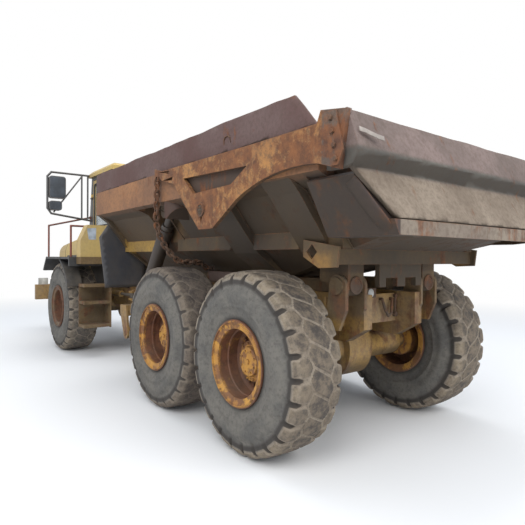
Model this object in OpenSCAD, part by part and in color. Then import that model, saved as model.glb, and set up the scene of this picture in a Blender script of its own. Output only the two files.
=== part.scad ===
// Six-wheel articulated dump truck with a tipping body, in millimetres.
// +X is forward, +Y is the left side, +Z is up; the origin is on the ground under the middle.

/* [Overall] */
// Distance from the front axle to the face of the bumper
front_overhang = 2765; // [2700:5:2900]
// Distance from the front axle to the middle axle
wheelbase = 4175; // [4100:5:4300]
// Gap between a middle tyre and the rear tyre behind it
tyre_gap = 52; // [30:2:120]
// Distance from the rear axle to the tail of the tip body
rear_overhang = 1490; // [1470:5:1540]

/* [Wheels] */
// Outer diameter of a tyre
tyre_d = 1618; // [1580:2:1640]
// Width of a tyre
tyre_w = 600; // [560:5:620]
// Distance between the wheel centres on one axle
track = 2216; // [2190:2:2260]
// Outer diameter of the rim's flange
rim_d = 762; // [740:2:780]
// Diameter of the planetary hub inside the rim
hub_d = 380; // [340:5:420]
// Diameter of the axle's spindle inside the hub
spindle_d = 180; // [160:5:200]

/* [Hitch and frames] */
// Distance from the front axle back to the steering pin
hitch_back = 1210; // [1190:5:1240]
// Rise above the wheel centres of the hitch's roll axis
roll_rise = 341; // [311:5:371]
// Diameter of the steering hinge's pin
king_pin_d = 110; // [90:2:130]
// Diameter of the roll tube
roll_tube_d = 420; // [380:5:440]
// Outer half width of the rear frame
rear_rail_y = 430; // [420:2:450]
// Width of one rear frame rail
rear_rail_w = 110; // [90:5:120]
// Rise above the wheel centres of the rear frame's lower edge
rear_rail_low_rise = 151; // [131:5:191]
// Rise above the wheel centres of the rear frame's upper edge
rear_rail_top_rise = 591; // [571:5:611]
// Outer half width of the front frame
front_rail_y = 400; // [380:5:410]
// Rise above the wheel centres of the front frame's lower edge
front_rail_low_rise = 11; // [-9:5:51]
// Rise above the wheel centres of the front frame's upper edge
front_rail_top_rise = 331; // [311:5:351]

// Diameter of the towing pin's hole in the bumper
tow_pin_d = 50; // [40:2:60]

/* [Tip body] */
// Distance from the middle axle forward to the body's front wall
body_front = 1950; // [1900:5:1980]
// Thickness of the body's wall plates
wall_t = 30; // [25:1:40]
// Rise above the wheel centres of the floor's underside
floor_rise = 721; // [706:5:741]
// Half width of the floor's underside
floor_y = 500; // [480:5:520]
// Rise above the wheel centres of the knee where the lower side meets the upper side
knee_rise = 991; // [971:5:1011]
// Half width at the knee
knee_y = 830; // [810:5:850]
// Rise above the wheel centres of the underside of the top rail at its inner edge
flank_rise = 1441; // [1421:5:1461]
// Half width at the top of the upper side
flank_y = 1190; // [1170:5:1210]
// Rise above the wheel centres of the lower edge of the top rail
rail_low_rise = 1521; // [1501:5:1536]
// Rise above the wheel centres of the upper edge of the top rail
rail_top_rise = 1841; // [1821:5:1871]
// Half width over the top rails
rail_y = 1390; // [1370:5:1400]
// Height of the side boards above the rail
board_h = 270; // [200:5:300]
// Thickness of a side board
board_t = 20; // [16:1:30]
// Distance from the middle axle back to where the floor starts to rise
duck_start = 1350; // [1300:5:1450]
// Rise above the wheel centres of the lip at the tail, top edge
lip_top_rise = 1171; // [1161:5:1181]
// Rise above the wheel centres of the lip at the tail, lower edge
lip_low_rise = 1071; // [1061:5:1081]
// Distance from the middle axle back to the body's hinge pin
tip_back = 2200; // [2180:5:2220]
// Rise above the wheel centres of the body's hinge pin
tip_rise = 675; // [666:1:681]
// Half distance between the two hinge lugs
tip_lug_y = 540; // [536:2:548]
// Diameter of the body's hinge pin
tip_pin_d = 90; // [80:2:100]

/* [Tailgate] */
// Distance from the middle axle back to the tailgate's pivot
gate_back = 1190; // [1170:5:1210]
// Rise above the wheel centres of the tailgate's pivot
gate_rise = 1361; // [1341:5:1371]
// Thickness of the tailgate's arm plates
arm_t = 40; // [30:1:45]
// Gap between the rail and an arm plate
arm_gap = 12; // [8:1:15]
// Thickness of the tailgate's folded panel
panel_t = 40; // [30:1:50]
// Diameter of the tailgate's pivot pin
gate_pin_d = 80; // [70:2:90]

/* [Cylinders] */
// Half distance between the two hoist cylinders
hoist_y = 1030; // [1020:2:1040]
// Outer diameter of a hoist barrel
hoist_d = 180; // [160:5:190]
// Outer diameter of a steering cylinder's barrel
steer_cyl_d = 110; // [90:5:120]

/* [Cab and hood] */
// Length of the cab at its floor
cab_l = 1370; // [1340:5:1400]
// Width of the cab
cab_w = 1320; // [1300:5:1340]
// Rise above the wheel centres of the cab's floor
cab_floor_rise = 991; // [971:5:1011]
// Rise above the wheel centres of the underside of the cab's roof
cab_top_rise = 2471; // [2451:5:2491]
// Thickness of the cab's roof
roof_t = 130; // [110:5:150]
// Thickness of the cab's walls and its door
cab_wall = 60; // [50:2:70]
// Width of the hood
hood_w = 1320; // [1280:5:1340]
// Rise above the wheel centres of the hood at the cab
hood_rear_rise = 1431; // [1391:5:1451]
// Rise above the wheel centres of the hood at its nose
hood_nose_rise = 1171; // [1131:5:1211]
// Thickness of the hood's shell
hood_wall = 30; // [25:1:40]
// Half distance over the mirror frames
mirror_y = 1500; // [1480:5:1510]

/* [Hidden] */
$fn = 48;

// Running gaps: round fits, plates that pass each other, and faces that only meet
fit_gap = 0.3;
pass_gap = 8;

bogie_spacing = tyre_d + tyre_gap;
overall_l = front_overhang + wheelbase + bogie_spacing + rear_overhang;
x_nose = overall_l / 2;
x_front = x_nose - front_overhang;
x_mid = x_front - wheelbase;
x_rear = x_mid - bogie_spacing;
x_tail = -overall_l / 2;
x_hitch = x_front - hitch_back;
x_tip = x_mid - tip_back;
x_body = x_mid + body_front;
x_gate = x_mid - gate_back;
wheel_z = tyre_d / 2;
wheel_y = track / 2;
roll_z = wheel_z + roll_rise;
rear_rail_low = wheel_z + rear_rail_low_rise;
rear_rail_top = wheel_z + rear_rail_top_rise;
front_rail_low = wheel_z + front_rail_low_rise;
front_rail_top = wheel_z + front_rail_top_rise;
floor_z = wheel_z + floor_rise;
knee_z = wheel_z + knee_rise;
flank_z = wheel_z + flank_rise;
rail_low = wheel_z + rail_low_rise;
rail_top = wheel_z + rail_top_rise;
lip_top = wheel_z + lip_top_rise;
lip_low = wheel_z + lip_low_rise;
tip_z = wheel_z + tip_rise;
gate_z = wheel_z + gate_rise;
cab_floor_z = wheel_z + cab_floor_rise;
cab_top_z = wheel_z + cab_top_rise;
hood_rear_z = wheel_z + hood_rear_rise;
hood_nose_z = wheel_z + hood_nose_rise;
tyre_in_y = wheel_y - tyre_w / 2;
x_cab_rear = x_hitch + 285;
x_cab_front = x_cab_rear + cab_l;

// Solid blocks, plates and rods

module block(x0, x1, y0, y1, z0, z1) translate([x0, y0, z0]) cube([x1 - x0, y1 - y0, z1 - z0]);

// A profile drawn in X and Z, from y0 to y1
module across(y0, y1) translate([0, y1, 0]) rotate([90, 0, 0]) linear_extrude(y1 - y0) children();

// A profile drawn in Y and Z, from x0 to x1
module along(x0, x1) translate([x0, 0, 0]) rotate([90, 0, 90]) linear_extrude(x1 - x0) children();

// A round bar along Y
module bar_y(d, x, z, y0, y1) translate([x, y1, z]) rotate([90, 0, 0]) cylinder(d = d, h = y1 - y0);

// A round bar along X
module bar_x(d, y, z, x0, x1) translate([x0, y, z]) rotate([0, 90, 0]) cylinder(d = d, h = x1 - x0);

// A round bar along Z
module bar_z(d, x, y, z0, z1) translate([x, y, z0]) cylinder(d = d, h = z1 - z0);

// A round bar between two points
module rod(a, b, d) {
  v = b - a;
  translate(a) rotate([0, acos(v[2] / norm(v)), atan2(v[1], v[0])]) cylinder(d = d, h = norm(v));
}

// A tube along a row of points, with a slightly larger ball at each bend
module tube(points, d) {
  for (i = [1 : len(points) - 1]) rod(points[i - 1], points[i], d);
  for (i = [1 : len(points) - 2]) translate(points[i]) sphere(d = d * 1.06);
}

module both_sides() {
  children();
  mirror([0, 1, 0]) children();
}

// Points on an arc in a plane
function arc(cx, cy, r, a0, a1, n) = [for (i = [0 : n]) let (a = a0 + (a1 - a0) * i / n)
  [cx + r * cos(a), cy + r * sin(a)]];

// Wheels

bead_r = 330;
crown_drop = 12;
shoulder_y = tyre_w / 2 - 45;

// Half of the tyre's section, as radius and distance from its middle plane
tyre_half = concat(
  [[bead_r + fit_gap, tyre_w / 2 - 75], [bead_r + 55, tyre_w / 2 - 55]],
  arc(tyre_d / 2 - 260, tyre_w / 2 - 150, 150, 75, 45, 3),
  [[tyre_d / 2 - 60, shoulder_y], [tyre_d / 2 - crown_drop, shoulder_y - 50], [tyre_d / 2, shoulder_y - 140]]);

lug_count = 26;
groove_w = 34;
groove_depth = 34;
groove_l = 125;

// Plain ring with grooves across both shoulders, set off by half a step from side to side
module tyre() difference() {
  rotate([90, 0, 0]) rotate_extrude($fn = 96)
    polygon(concat(tyre_half, [for (i = [len(tyre_half) - 1 : -1 : 0]) [tyre_half[i][0], -tyre_half[i][1]]]));
  for (i = [0 : lug_count - 1]) {
    rotate([0, i * 360 / lug_count, 0]) shoulder_groove();
    rotate([0, (i + 0.5) * 360 / lug_count, 0]) mirror([0, 1, 0]) shoulder_groove();
  }
}

module shoulder_groove() block(tyre_d / 2 - groove_depth, tyre_d / 2 + 1, shoulder_y - groove_l, tyre_w / 2 + 1,
  -groove_w / 2, groove_w / 2);

rim_half_w = tyre_w / 2 - 50;
rim_lip = 22;
disc_y = 40;
hub_out = 130;
hub_in = -210;
hub_wall_end = 70;

// The rim's section, as radius and distance outwards from the wheel's middle plane
module rim() rotate([-90, 0, 0]) rotate_extrude($fn = 72) polygon([
  [spindle_d / 2 + fit_gap, hub_in], [hub_d / 2, hub_in], [hub_d / 2, -disc_y / 2],
  [bead_r - 60, -disc_y / 2], [bead_r - 30, -disc_y], [bead_r - 30, -rim_half_w],
  [rim_d / 2 - 14, -rim_half_w - rim_lip], [rim_d / 2, -rim_half_w - rim_lip + 6],
  [rim_d / 2, -rim_half_w], [bead_r, -rim_half_w + rim_lip + 2], [bead_r, rim_half_w - rim_lip - 2],
  [rim_d / 2, rim_half_w], [rim_d / 2, rim_half_w + rim_lip - 6], [rim_d / 2 - 14, rim_half_w + rim_lip],
  [bead_r - 30, rim_half_w], [bead_r - 30, disc_y], [bead_r - 60, disc_y / 2], [hub_d / 2, disc_y / 2],
  [hub_d / 2 - 10, hub_out - 40], [hub_d / 2 - 55, hub_out - 25], [hub_d / 2 - 65, hub_out], [0, hub_out],
  [0, hub_wall_end], [spindle_d / 2 + fit_gap, hub_wall_end]]);

// Columns: name of the axle, its place along X
AXLES = [["front", x_front], ["middle", x_mid], ["rear", x_rear]];

module tyre_at(axle, side) color([0.36, 0.34, 0.31])
  translate([AXLES[axle][1], side * wheel_y, wheel_z]) scale_side(side) tyre();

module rim_at(axle, side) color([0.72, 0.48, 0.14])
  translate([AXLES[axle][1], side * wheel_y, wheel_z]) scale_side(side) rim();

// Outwards is +Y on the left side and -Y on the right side
module scale_side(side) mirror([0, side < 0 ? 1 : 0, 0]) children();

// Axles

axle_tube_d = 300;
diff_d = 560;
spindle_end = wheel_y + hub_wall_end - 10;

module axle(x) {
  translate([x, 0, wheel_z]) {
    rotate([90, 0, 0]) cylinder(d = axle_tube_d, h = 2 * (tyre_in_y - 70), center = true);
    rotate([90, 0, 0]) cylinder(d = spindle_d, h = 2 * spindle_end, center = true);
    scale([0.8, 1, 1]) rotate([90, 0, 0]) cylinder(d = diff_d, h = 330, center = true);
  }
}

module drive_nose(x, dir) bar_x(200, 0, wheel_z, min(x, x + dir * 420), max(x, x + dir * 420));

module front_axle() color([0.66, 0.46, 0.14]) {
  axle(x_front);
  drive_nose(x_front, -1);
  // Spring seats between the axle and the frame
  both_sides()
    block(x_front - 80, x_front + 80, front_rail_y - 80, front_rail_y - 10, wheel_z + 100, axle_arch_z - 30);
}

module rear_axles() color([0.66, 0.46, 0.14]) {
  for (x = [x_mid, x_rear]) {
    axle(x);
    drive_nose(x, 1);
  }
}

// Rocking beams that carry the two rear axles
x_bogie = (x_mid + x_rear) / 2;
beam_in = rear_rail_y + 80;
beam_out = beam_in + 120;
beam_pivot_d = 160;

module bogie_beams() color([0.35, 0.27, 0.2]) both_sides() {
  difference() {
    across(beam_in, beam_out) polygon([[x_rear - 130, wheel_z + 150], [x_rear + 130, wheel_z + 150],
      [x_bogie - 200, wheel_z + 100], [x_bogie + 200, wheel_z + 100], [x_mid - 130, wheel_z + 150],
      [x_mid + 130, wheel_z + 150], [x_mid + 130, wheel_z + 280], [x_bogie + 150, wheel_z + 340],
      [x_bogie - 150, wheel_z + 340], [x_rear - 130, wheel_z + 280]]);
    bar_y(beam_pivot_d, x_bogie, wheel_z + 220, beam_in - 1, beam_out + 1);
  }
}

// Front frame

x_front_rail = x_hitch + 260;
bumper_t = 220;
bumper_low = front_rail_low - 90;
bumper_top = bumper_low + 340;
axle_arch = 260;
axle_arch_z = wheel_z + axle_tube_d / 2 + 30;
front_rail_w = 90;
hitch_half = 190;
hitch_plate_t = 50;
hitch_plate_w = 300;
// Posts under the cab. Columns: place along X, outer half distance
CAB_POSTS = [[x_cab_rear + 150, 290], [x_cab_rear + cab_l - 200, front_rail_y]];

module front_frame() color([0.72, 0.5, 0.14]) {
  both_sides() {
    // Rail that arches over the axle and narrows to the hitch
    intersection() {
      across(0, front_rail_y) polygon([[x_front_rail, front_rail_low], [x_front - axle_arch, front_rail_low],
        [x_front - axle_arch + 60, axle_arch_z], [x_front + axle_arch - 60, axle_arch_z],
        [x_front + axle_arch, front_rail_low], [x_nose - bumper_t + 10, front_rail_low],
        [x_nose - bumper_t + 10, front_rail_top - 60], [x_front + 700, front_rail_top],
        [x_front_rail, front_rail_top]]);
      translate([0, 0, front_rail_low - 1]) linear_extrude(front_rail_top - front_rail_low + 2)
        polygon([[x_front_rail, 250 - front_rail_w], [x_front_rail, 250], [x_front_rail + 500, front_rail_y - 20],
          [x_front - 300, front_rail_y], [x_nose, front_rail_y], [x_nose, front_rail_y - front_rail_w],
          [x_front - 300, front_rail_y - front_rail_w], [x_front_rail + 500, front_rail_y - front_rail_w - 20]]);
    }
    // Ears for the steering cylinder, with its pin
    for (z = [steer_z - ear_half - steer_ear_t, steer_z + ear_half]) translate([0, 0, z])
      linear_extrude(steer_ear_t) polygon(concat([[steer_a[0] - 60, front_rail_y - 20]],
        arc(steer_a[0], steer_a[1], 60, 180, 0, 8), [[steer_a[0] + 60, front_rail_y - 20]]));
    bar_z(steer_pin_d, steer_a[0], steer_a[1], steer_z - ear_half - steer_ear_t - 12,
      steer_z + ear_half + steer_ear_t + 12);
    // Stand on the bumper for the hood's hinge, with its pin
    block(hood_pin[0] - 40, hood_pin[0] + 8, hood_hinge_y - 48, hood_hinge_y - 8, bumper_top - 10, hood_pin[1] + 25);
    bar_y(hood_pin_d, hood_pin[0], hood_pin[1], hood_hinge_y - 60, hood_hinge_y + 40);
    // Spring seat over the axle
    block(x_front - 90, x_front + 90, front_rail_y - front_rail_w, front_rail_y, axle_arch_z - 30, axle_arch_z + 10);
    // Bracket for the front of the fender
    block(x_fender_stay - 40, x_fender_stay + 40, front_rail_y - 20, fender_stay_y,
      front_rail_top - 100, front_rail_top - 40);
  }
  // Posts under the four corners of the cab
  for (p = CAB_POSTS) both_sides()
    block(p[0] - 50, p[0] + 50, p[1] - front_rail_w, p[1], front_rail_top - 60, cab_floor_z);
  // Cross members, then the bumper with its chamfered ends
  for (x = [x_front + 320, x_nose - bumper_t - 160])
    block(x, x + 120, -front_rail_y + 80, front_rail_y - 80, front_rail_low + 20, front_rail_top - 80);
  difference() {
    translate([0, 0, bumper_low]) linear_extrude(bumper_top - bumper_low)
      polygon([[x_nose - bumper_t, -1210], [x_nose - 90, -1210], [x_nose, -900], [x_nose, 900],
        [x_nose - 90, 1210], [x_nose - bumper_t, 1210]]);
    // Pocket for a tow rope's eye and the pin hole through it
    block(x_nose - 130, x_nose + 1, -120, 120, bumper_low + 100, bumper_top - 100);
    bar_z(tow_pin_d, x_nose - 70, 0, bumper_low - 1, bumper_top + 1);
  }
  // Hitch plates above and below the yoke's hub, on a deep cross wall
  for (z = [roll_z - hitch_half - hitch_plate_t, roll_z + hitch_half])
    difference() {
      union() {
        block(x_hitch + 60, x_front_rail + 60, -hitch_plate_w / 2, hitch_plate_w / 2, z, z + hitch_plate_t);
        bar_z(hitch_plate_w * 0.8, x_hitch, 0, z, z + hitch_plate_t);
      }
      bar_z(king_pin_d + 2 * fit_gap, x_hitch, 0, z - 1, z + hitch_plate_t + 1);
    }
  block(x_front_rail, x_front_rail + 60, -250, 250, roll_z - hitch_half - hitch_plate_t,
    roll_z + hitch_half + hitch_plate_t);
}

// Hitch yoke: a hub on the steering pin and a round stem for the roll joint
stem_d = 220;
stem_back = 620;

module hitch_yoke() color([0.5, 0.36, 0.16]) {
  bar_z(king_pin_d, x_hitch, 0, roll_z - hitch_half - 90, roll_z + hitch_half + 90);
  bar_z(260, x_hitch, 0, roll_z - hitch_half + 2, roll_z + hitch_half - 2);
  bar_x(stem_d, 0, roll_z, x_hitch - stem_back, x_hitch);
  bar_x(320, 0, roll_z, x_hitch - 220, x_hitch - 100);
  // Ears for the steering rods, two plates across the hub, with the pin's heads on the outside
  for (z = [steer_z - ear_half - steer_ear_t, steer_z + ear_half]) translate([0, 0, z]) linear_extrude(steer_ear_t)
    mirror_x() polygon([[x_hitch - 60, 0], [x_hitch - 90, 120], [steer_b[0] + 70, steer_b[1] + 50],
      [steer_b[0] - 60, steer_b[1] + 50], [x_hitch - 225, 120], [x_hitch - 225, 0]]);
  both_sides() for (z = [steer_z - ear_half - steer_ear_t - 14, steer_z + ear_half + steer_ear_t])
    bar_z(steer_pin_d + 20, steer_b[0], steer_b[1], z, z + 14);
}

module mirror_x() {
  children();
  mirror([0, 1]) children();
}

// Steering cylinders, drawn from the frame's pin to the yoke's ears
steer_z = roll_z - 90;
ear_half = 45;
steer_ear_t = 30;
steer_pin_d = 50;
steer_rod_d = 50;
steer_a = [x_front - 60, 540, steer_z];
steer_b = [x_hitch - 215, 500, steer_z];
steer_len = norm(steer_b - steer_a);
steer_dir = (steer_b - steer_a) / steer_len;
steer_barrel_l = 880;
steer_eye_h = 80;

module steer_barrel() color([0.45, 0.33, 0.17]) difference() {
  union() {
    rod(steer_a, steer_a + steer_dir * 110, 70);
    rod(steer_a + steer_dir * 90, steer_a + steer_dir * steer_barrel_l, steer_cyl_d);
    bar_z(110, steer_a[0], steer_a[1], steer_z - steer_eye_h / 2, steer_z + steer_eye_h / 2);
  }
  rod(steer_a + steer_dir * 130, steer_a + steer_dir * (steer_barrel_l + 1), steer_rod_d + 2 * fit_gap);
  bar_z(steer_pin_d + 2 * fit_gap, steer_a[0], steer_a[1], steer_z - steer_eye_h, steer_z + steer_eye_h);
}

module steer_rod() color([0.62, 0.6, 0.56]) {
  rod(steer_a + steer_dir * (steer_barrel_l - 300), steer_b - steer_dir * 40, steer_rod_d);
  difference() {
    bar_z(100, steer_b[0], steer_b[1], steer_z - steer_eye_h / 2, steer_z + steer_eye_h / 2);
    bar_z(steer_pin_d + 1, steer_b[0], steer_b[1], steer_z - steer_eye_h, steer_z + steer_eye_h);
  }
}

// Rear frame

x_ring = x_hitch - 240;
x_ring_back = x_hitch - stem_back - 40;
x_rear_rail_end = x_tip - 90;
x_cross = x_tip + 160;
ear_t = 36;
ear_r = 100;
tail_low = rear_rail_top - 300;
lug_w = 200;
ear_gap = 4;
ear_in = tip_lug_y - lug_w / 2 - ear_gap - ear_t;
ear_out = tip_lug_y + lug_w / 2 + ear_gap;

// Front end of the beam that anchors the chain
x_anchor = x_mid - 60;
anchor_y = rear_rail_y + 215;
anchor_z = rear_rail_top + 158;
x_hook = x_anchor - 26;
hook_hole_d = 40;

module rear_frame() color([0.7, 0.48, 0.15]) {
  // Roll housing at the front
  difference() {
    bar_x(roll_tube_d, 0, roll_z, x_ring_back - 120, x_ring);
    bar_x(stem_d + 2 * fit_gap, 0, roll_z, x_ring_back, x_ring + 1);
  }
  // Frame rails that narrow to the roll housing
  both_sides() intersection() {
    across(0, rear_rail_y) polygon([[x_ring_back + 40, roll_z - 150], [x_ring_back - 500, rear_rail_low],
      [x_rear_rail_end + 220, rear_rail_low], [x_rear_rail_end, rear_rail_low + 130],
      [x_rear_rail_end, rear_rail_top], [x_ring_back - 400, rear_rail_top], [x_ring_back + 40, roll_z + 150]]);
    translate([0, 0, rear_rail_low - 10]) linear_extrude(rear_rail_top - rear_rail_low + 20)
      polygon([[x_rear_rail_end, rear_rail_y - rear_rail_w], [x_rear_rail_end, rear_rail_y],
        [x_ring_back - 600, rear_rail_y], [x_ring_back + 40, roll_tube_d / 2 - 20],
        [x_ring_back + 40, roll_tube_d / 2 - 70], [x_ring_back - 120, roll_tube_d / 2 - 100],
        [x_ring_back - 600, rear_rail_y - rear_rail_w]]);
  }
  // Cross members
  for (x = [x_ring_back - 620, x_bogie - 60, x_mid + 330])
    block(x, x + 120, -rear_rail_y + rear_rail_w, rear_rail_y - rear_rail_w, rear_rail_low + 60, rear_rail_top - 60);
  // Deep tail member under the body's hinge
  block(x_cross - 30, x_cross, -ear_out - ear_t, ear_out + ear_t, tail_low, rear_rail_top - 20);
  both_sides() {
    // Hinge ears
    for (y = [ear_in, ear_out]) across(y, y + ear_t) polygon(concat([[x_cross, tail_low]],
      arc(x_tip, tip_z, ear_r, 40, 180, 8), [[x_tip - ear_r, rear_rail_top - 120], [x_tip - 20, tail_low]]));
    // Pin through the ears, with a washer on its outer end
    bar_y(tip_pin_d, x_tip, tip_z, ear_in, ear_out + ear_t + 20);
    bar_y(tip_pin_d + 60, x_tip, tip_z, ear_out + ear_t, ear_out + ear_t + 22);
    // Pivot for the rocking beam
    bar_y(beam_pivot_d - 2 * fit_gap, x_bogie, wheel_z + 220, rear_rail_y - 20, beam_out + 20);
    bar_y(beam_pivot_d + 60, x_bogie, wheel_z + 220, rear_rail_y - 10, beam_in - 2);
    // Hoist foot: half of a beam across the frame, two ears ahead of the cylinder, and the lower pin
    block(x_hoist_low - 20, x_hoist_low + foot_l, 0, hoist_y + foot_ear_y + foot_ear_t, foot_low, foot_top);
    for (y = [hoist_y - foot_ear_y - foot_ear_t, hoist_y + foot_ear_y]) across(y, y + foot_ear_t)
      polygon(concat(arc(x_hoist_low, hoist_low_z, 80, 180, 360, 10),
        [[x_hoist_low + foot_l, foot_low + 30], [x_hoist_low + foot_l, foot_top], [x_hoist_low - 20, foot_top]]));
    bar_y(hoist_pin_d, x_hoist_low, hoist_low_z, hoist_y - foot_ear_y - foot_ear_t - 10,
      hoist_y + foot_ear_y + foot_ear_t + 10);
    // Beam beside the body that anchors the tailgate's chain, with an eye plate at its front
    block(x_mid - 1150, x_anchor, anchor_y - 45, anchor_y + 45, anchor_z - 115, anchor_z);
    difference() {
      block(x_hook - 8, x_hook + 8, anchor_y - 26, anchor_y + 40, anchor_z - 1, anchor_z + 60);
      bar_x(hook_hole_d, anchor_y, anchor_z + 34, x_hook - 9, x_hook + 9);
    }
    for (x = [x_mid - 1050, x_mid - 260]) {
      block(x - 60, x + 60, rear_rail_y - 10, anchor_y + 5, rear_rail_top - 90, rear_rail_top - 6);
      block(x - 60, x + 60, anchor_y - 35, anchor_y + 5, rear_rail_top - 90, anchor_z - 70);
    }
  }
}

// Hoist cylinders: barrel, middle stage and rod on one line

hoist_pin_d = 70;
// Hoist's lower pins ahead of the middle axle
hoist_foot_ahead = 1400;
x_hoist_low = x_mid + hoist_foot_ahead;
hoist_low_z = wheel_z - 159;
x_hoist_top = x_mid + 220;
hoist_top_z = flank_z + 30;
foot_l = 200;
foot_low = rear_rail_low - 60;
foot_top = rear_rail_low + 80;
foot_ear_t = 30;
foot_ear_y = hoist_d / 2 + 6;
hoist_a = [x_hoist_low, hoist_y, hoist_low_z];
hoist_b = [x_hoist_top, hoist_y, hoist_top_z];
hoist_len = norm(hoist_b - hoist_a);
hoist_dir = (hoist_b - hoist_a) / hoist_len;
barrel_end = hoist_len - 260;
stage_end = hoist_len - 200;
stage_d = hoist_d - 36;
rod_d = stage_d - 40;
eye_d = 150;
eye_w = 90;

module hoist_barrels() color([0.6, 0.44, 0.16]) both_sides() difference() {
  union() {
    rod(hoist_a + hoist_dir * 50, hoist_a + hoist_dir * barrel_end, hoist_d);
    bar_y(eye_d, hoist_a[0], hoist_a[2], hoist_y - hoist_d / 2, hoist_y + hoist_d / 2);
  }
  rod(hoist_a + hoist_dir * 110, hoist_a + hoist_dir * (barrel_end + 1), stage_d + 2 * fit_gap);
  bar_y(hoist_pin_d + 2 * fit_gap, hoist_a[0], hoist_a[2], hoist_y - hoist_d, hoist_y + hoist_d);
}

module hoist_stages() color([0.2, 0.17, 0.16]) both_sides() difference() {
  rod(hoist_a + hoist_dir * 130, hoist_a + hoist_dir * stage_end, stage_d);
  rod(hoist_a + hoist_dir * 160, hoist_a + hoist_dir * (stage_end + 1), rod_d + 2 * fit_gap);
}

module hoist_rods() color([0.3, 0.26, 0.24]) both_sides() {
  rod(hoist_a + hoist_dir * 180, hoist_a + hoist_dir * (hoist_len - 40), rod_d);
  difference() {
    bar_y(eye_d, hoist_b[0], hoist_b[2], hoist_y - eye_w / 2, hoist_y + eye_w / 2);
    bar_y(hoist_pin_d + 2, hoist_b[0], hoist_b[2], hoist_y - eye_w, hoist_y + eye_w);
  }
}

// Tip body

x_body_end = x_tail + 215;
// Length that the rails leave to the tailgate's ends
gate_room = 470;
x_duck = x_mid - duck_start;
pocket_x0 = x_hoist_top - 330;
pocket_x1 = x_hoist_top + 330;

// Half of the body's outer section in Y and Z
body_half = [[floor_y, floor_z], [knee_y, knee_z], [flank_y, flank_z], [rail_y, rail_low],
  [rail_y, rail_top]];
// The same section taken in by the wall, up to the rail's inner face
inner_half = [[floor_y - wall_t * 0.4, floor_z + wall_t],
  [knee_y - wall_t * 1.25, knee_z + wall_t * 0.4], [flank_y - wall_t * 1.1, flank_z + wall_t * 0.6],
  [rail_y - 140, rail_low + 40], [rail_y - 140, rail_top + 1]];

// A profile given on its left side, closed by its mirror image
module mirrored_profile(points)
  polygon(concat(points, [for (i = [len(points) - 1 : -1 : 0]) [-points[i][0], points[i][1]]]));

// Rear end of the rising floor's underside, in X and Z
duck_low = [x_tail + 40, lip_top - wall_t];
lip_y = knee_y + 290;
// Smooth cheek that closes the side at the tail
x_cheek = x_tail + 640;
cheek_y = rail_y - 50;
cheek_z = flank_z + 45;
lug_r = 90;
// Box beam under the rising floor
tail_beam = [x_tip - 280, x_tip - 162, floor_z + 145, floor_z + 255];
tail_beam_y = knee_y + 190;
apron_y = rear_rail_y - rear_rail_w - pass_gap;

pocket_top = hoist_top_z + 110;

// Outline of the space below the rising floor
module space_below() polygon([[x_duck, floor_z - 60], [x_duck, floor_z], duck_low, [x_tail - 10, lip_top - wall_t],
  [x_tail - 10, floor_z - 60]]);

module body_shell() color([0.34, 0.29, 0.2]) {
  difference() {
    along(x_body_end, x_body) mirrored_profile(body_half);
    along(x_body_end - 1, x_body - wall_t) mirrored_profile(inner_half);
    // Space below the rising floor
    across(-rail_y - 1, rail_y + 1) space_below();
    // Rail and flank end ahead of the tailgate
    block(x_tail - 1, x_tail + gate_room, -rail_y - 1, rail_y + 1, flank_z + 30, rail_top + 1);
    // Pockets for the hoist cylinders
    both_sides() block(pocket_x0, pocket_x1, hoist_y - 110, rail_y - 60, knee_z - 200, pocket_top);
  }
  // Rising floor between the walls
  intersection() {
    across(-rail_y, rail_y) polygon([[x_duck, floor_z], duck_low, [x_tail + 40, lip_top],
      [x_duck, floor_z + wall_t]]);
    along(x_tail, x_body) mirrored_profile(body_half);
  }
  // Lip at the tail
  along(x_tail, x_tail + 40) polygon([[-lip_y, lip_low], [lip_y, lip_low], [lip_y, lip_top], [-lip_y, lip_top]]);
  // Cheeks at the tail, with their rear faces along the lower half of the tailgate
  both_sides() intersection() {
    along(x_tail, x_cheek) polygon([[knee_y + 60, lip_low], [lip_y, lip_low], [cheek_y, cheek_z - 25],
      [cheek_y - 30, cheek_z], [flank_y - 20, cheek_z], [knee_y - 20, knee_z + 60]]);
    across(0, rail_y) polygon([[x_tail, lip_low], [x_cheek - 130, lip_low - 60], [x_cheek, knee_z],
      [x_cheek, cheek_z], [x_tail + 170 + panel_t, cheek_z], [x_tail + 22 + panel_t, lip_top], [x_tail, lip_top]]);
  }
  // Walls of the hoist pockets, closed to the load space
  both_sides() difference() {
    block(pocket_x0 - wall_t, pocket_x1 + wall_t, hoist_y - 110 - wall_t, rail_y - 100,
      knee_z + 20, pocket_top + wall_t);
    block(pocket_x0, pocket_x1, hoist_y - 110, rail_y, knee_z - 200, pocket_top);
    along(pocket_x0 - wall_t - 1, pocket_x1 + wall_t + 1) polygon([[floor_y, floor_z],
      [knee_y, knee_z], [flank_y, flank_z], [rail_y, rail_low], [rail_y, floor_z]]);
  }
  // Long bearers under the floor and the hinge lugs
  both_sides() {
    block(x_tip + 250, x_body - 150, rear_rail_y - rear_rail_w, rear_rail_y, rear_rail_top + 6, floor_z);
    // Their upper edges are welded into the floor
    block(x_duck, x_body - 150, rear_rail_y - rear_rail_w, rear_rail_y, floor_z - wall_t / 2, floor_z + wall_t / 2);
    difference() {
      across(tip_lug_y - lug_w / 2, tip_lug_y + lug_w / 2) polygon(concat(
        arc(x_tip, tip_z, lug_r, 180, 360, 10), [[x_tip + 250, floor_z], [x_tip + 250, floor_z + 165],
        [x_tip - lug_r, floor_z + 255]]));
      bar_y(tip_pin_d + 2 * fit_gap, x_tip, tip_z, tip_lug_y - lug_w, tip_lug_y + lug_w);
    }
  }
}

// Ribs that follow the outside of the section. Columns: distance from the middle axle, width, depth
RIBS = [[body_front - 60, 100, 60], [-1150, 400, 80], [-2180, 360, 90]];
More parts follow.
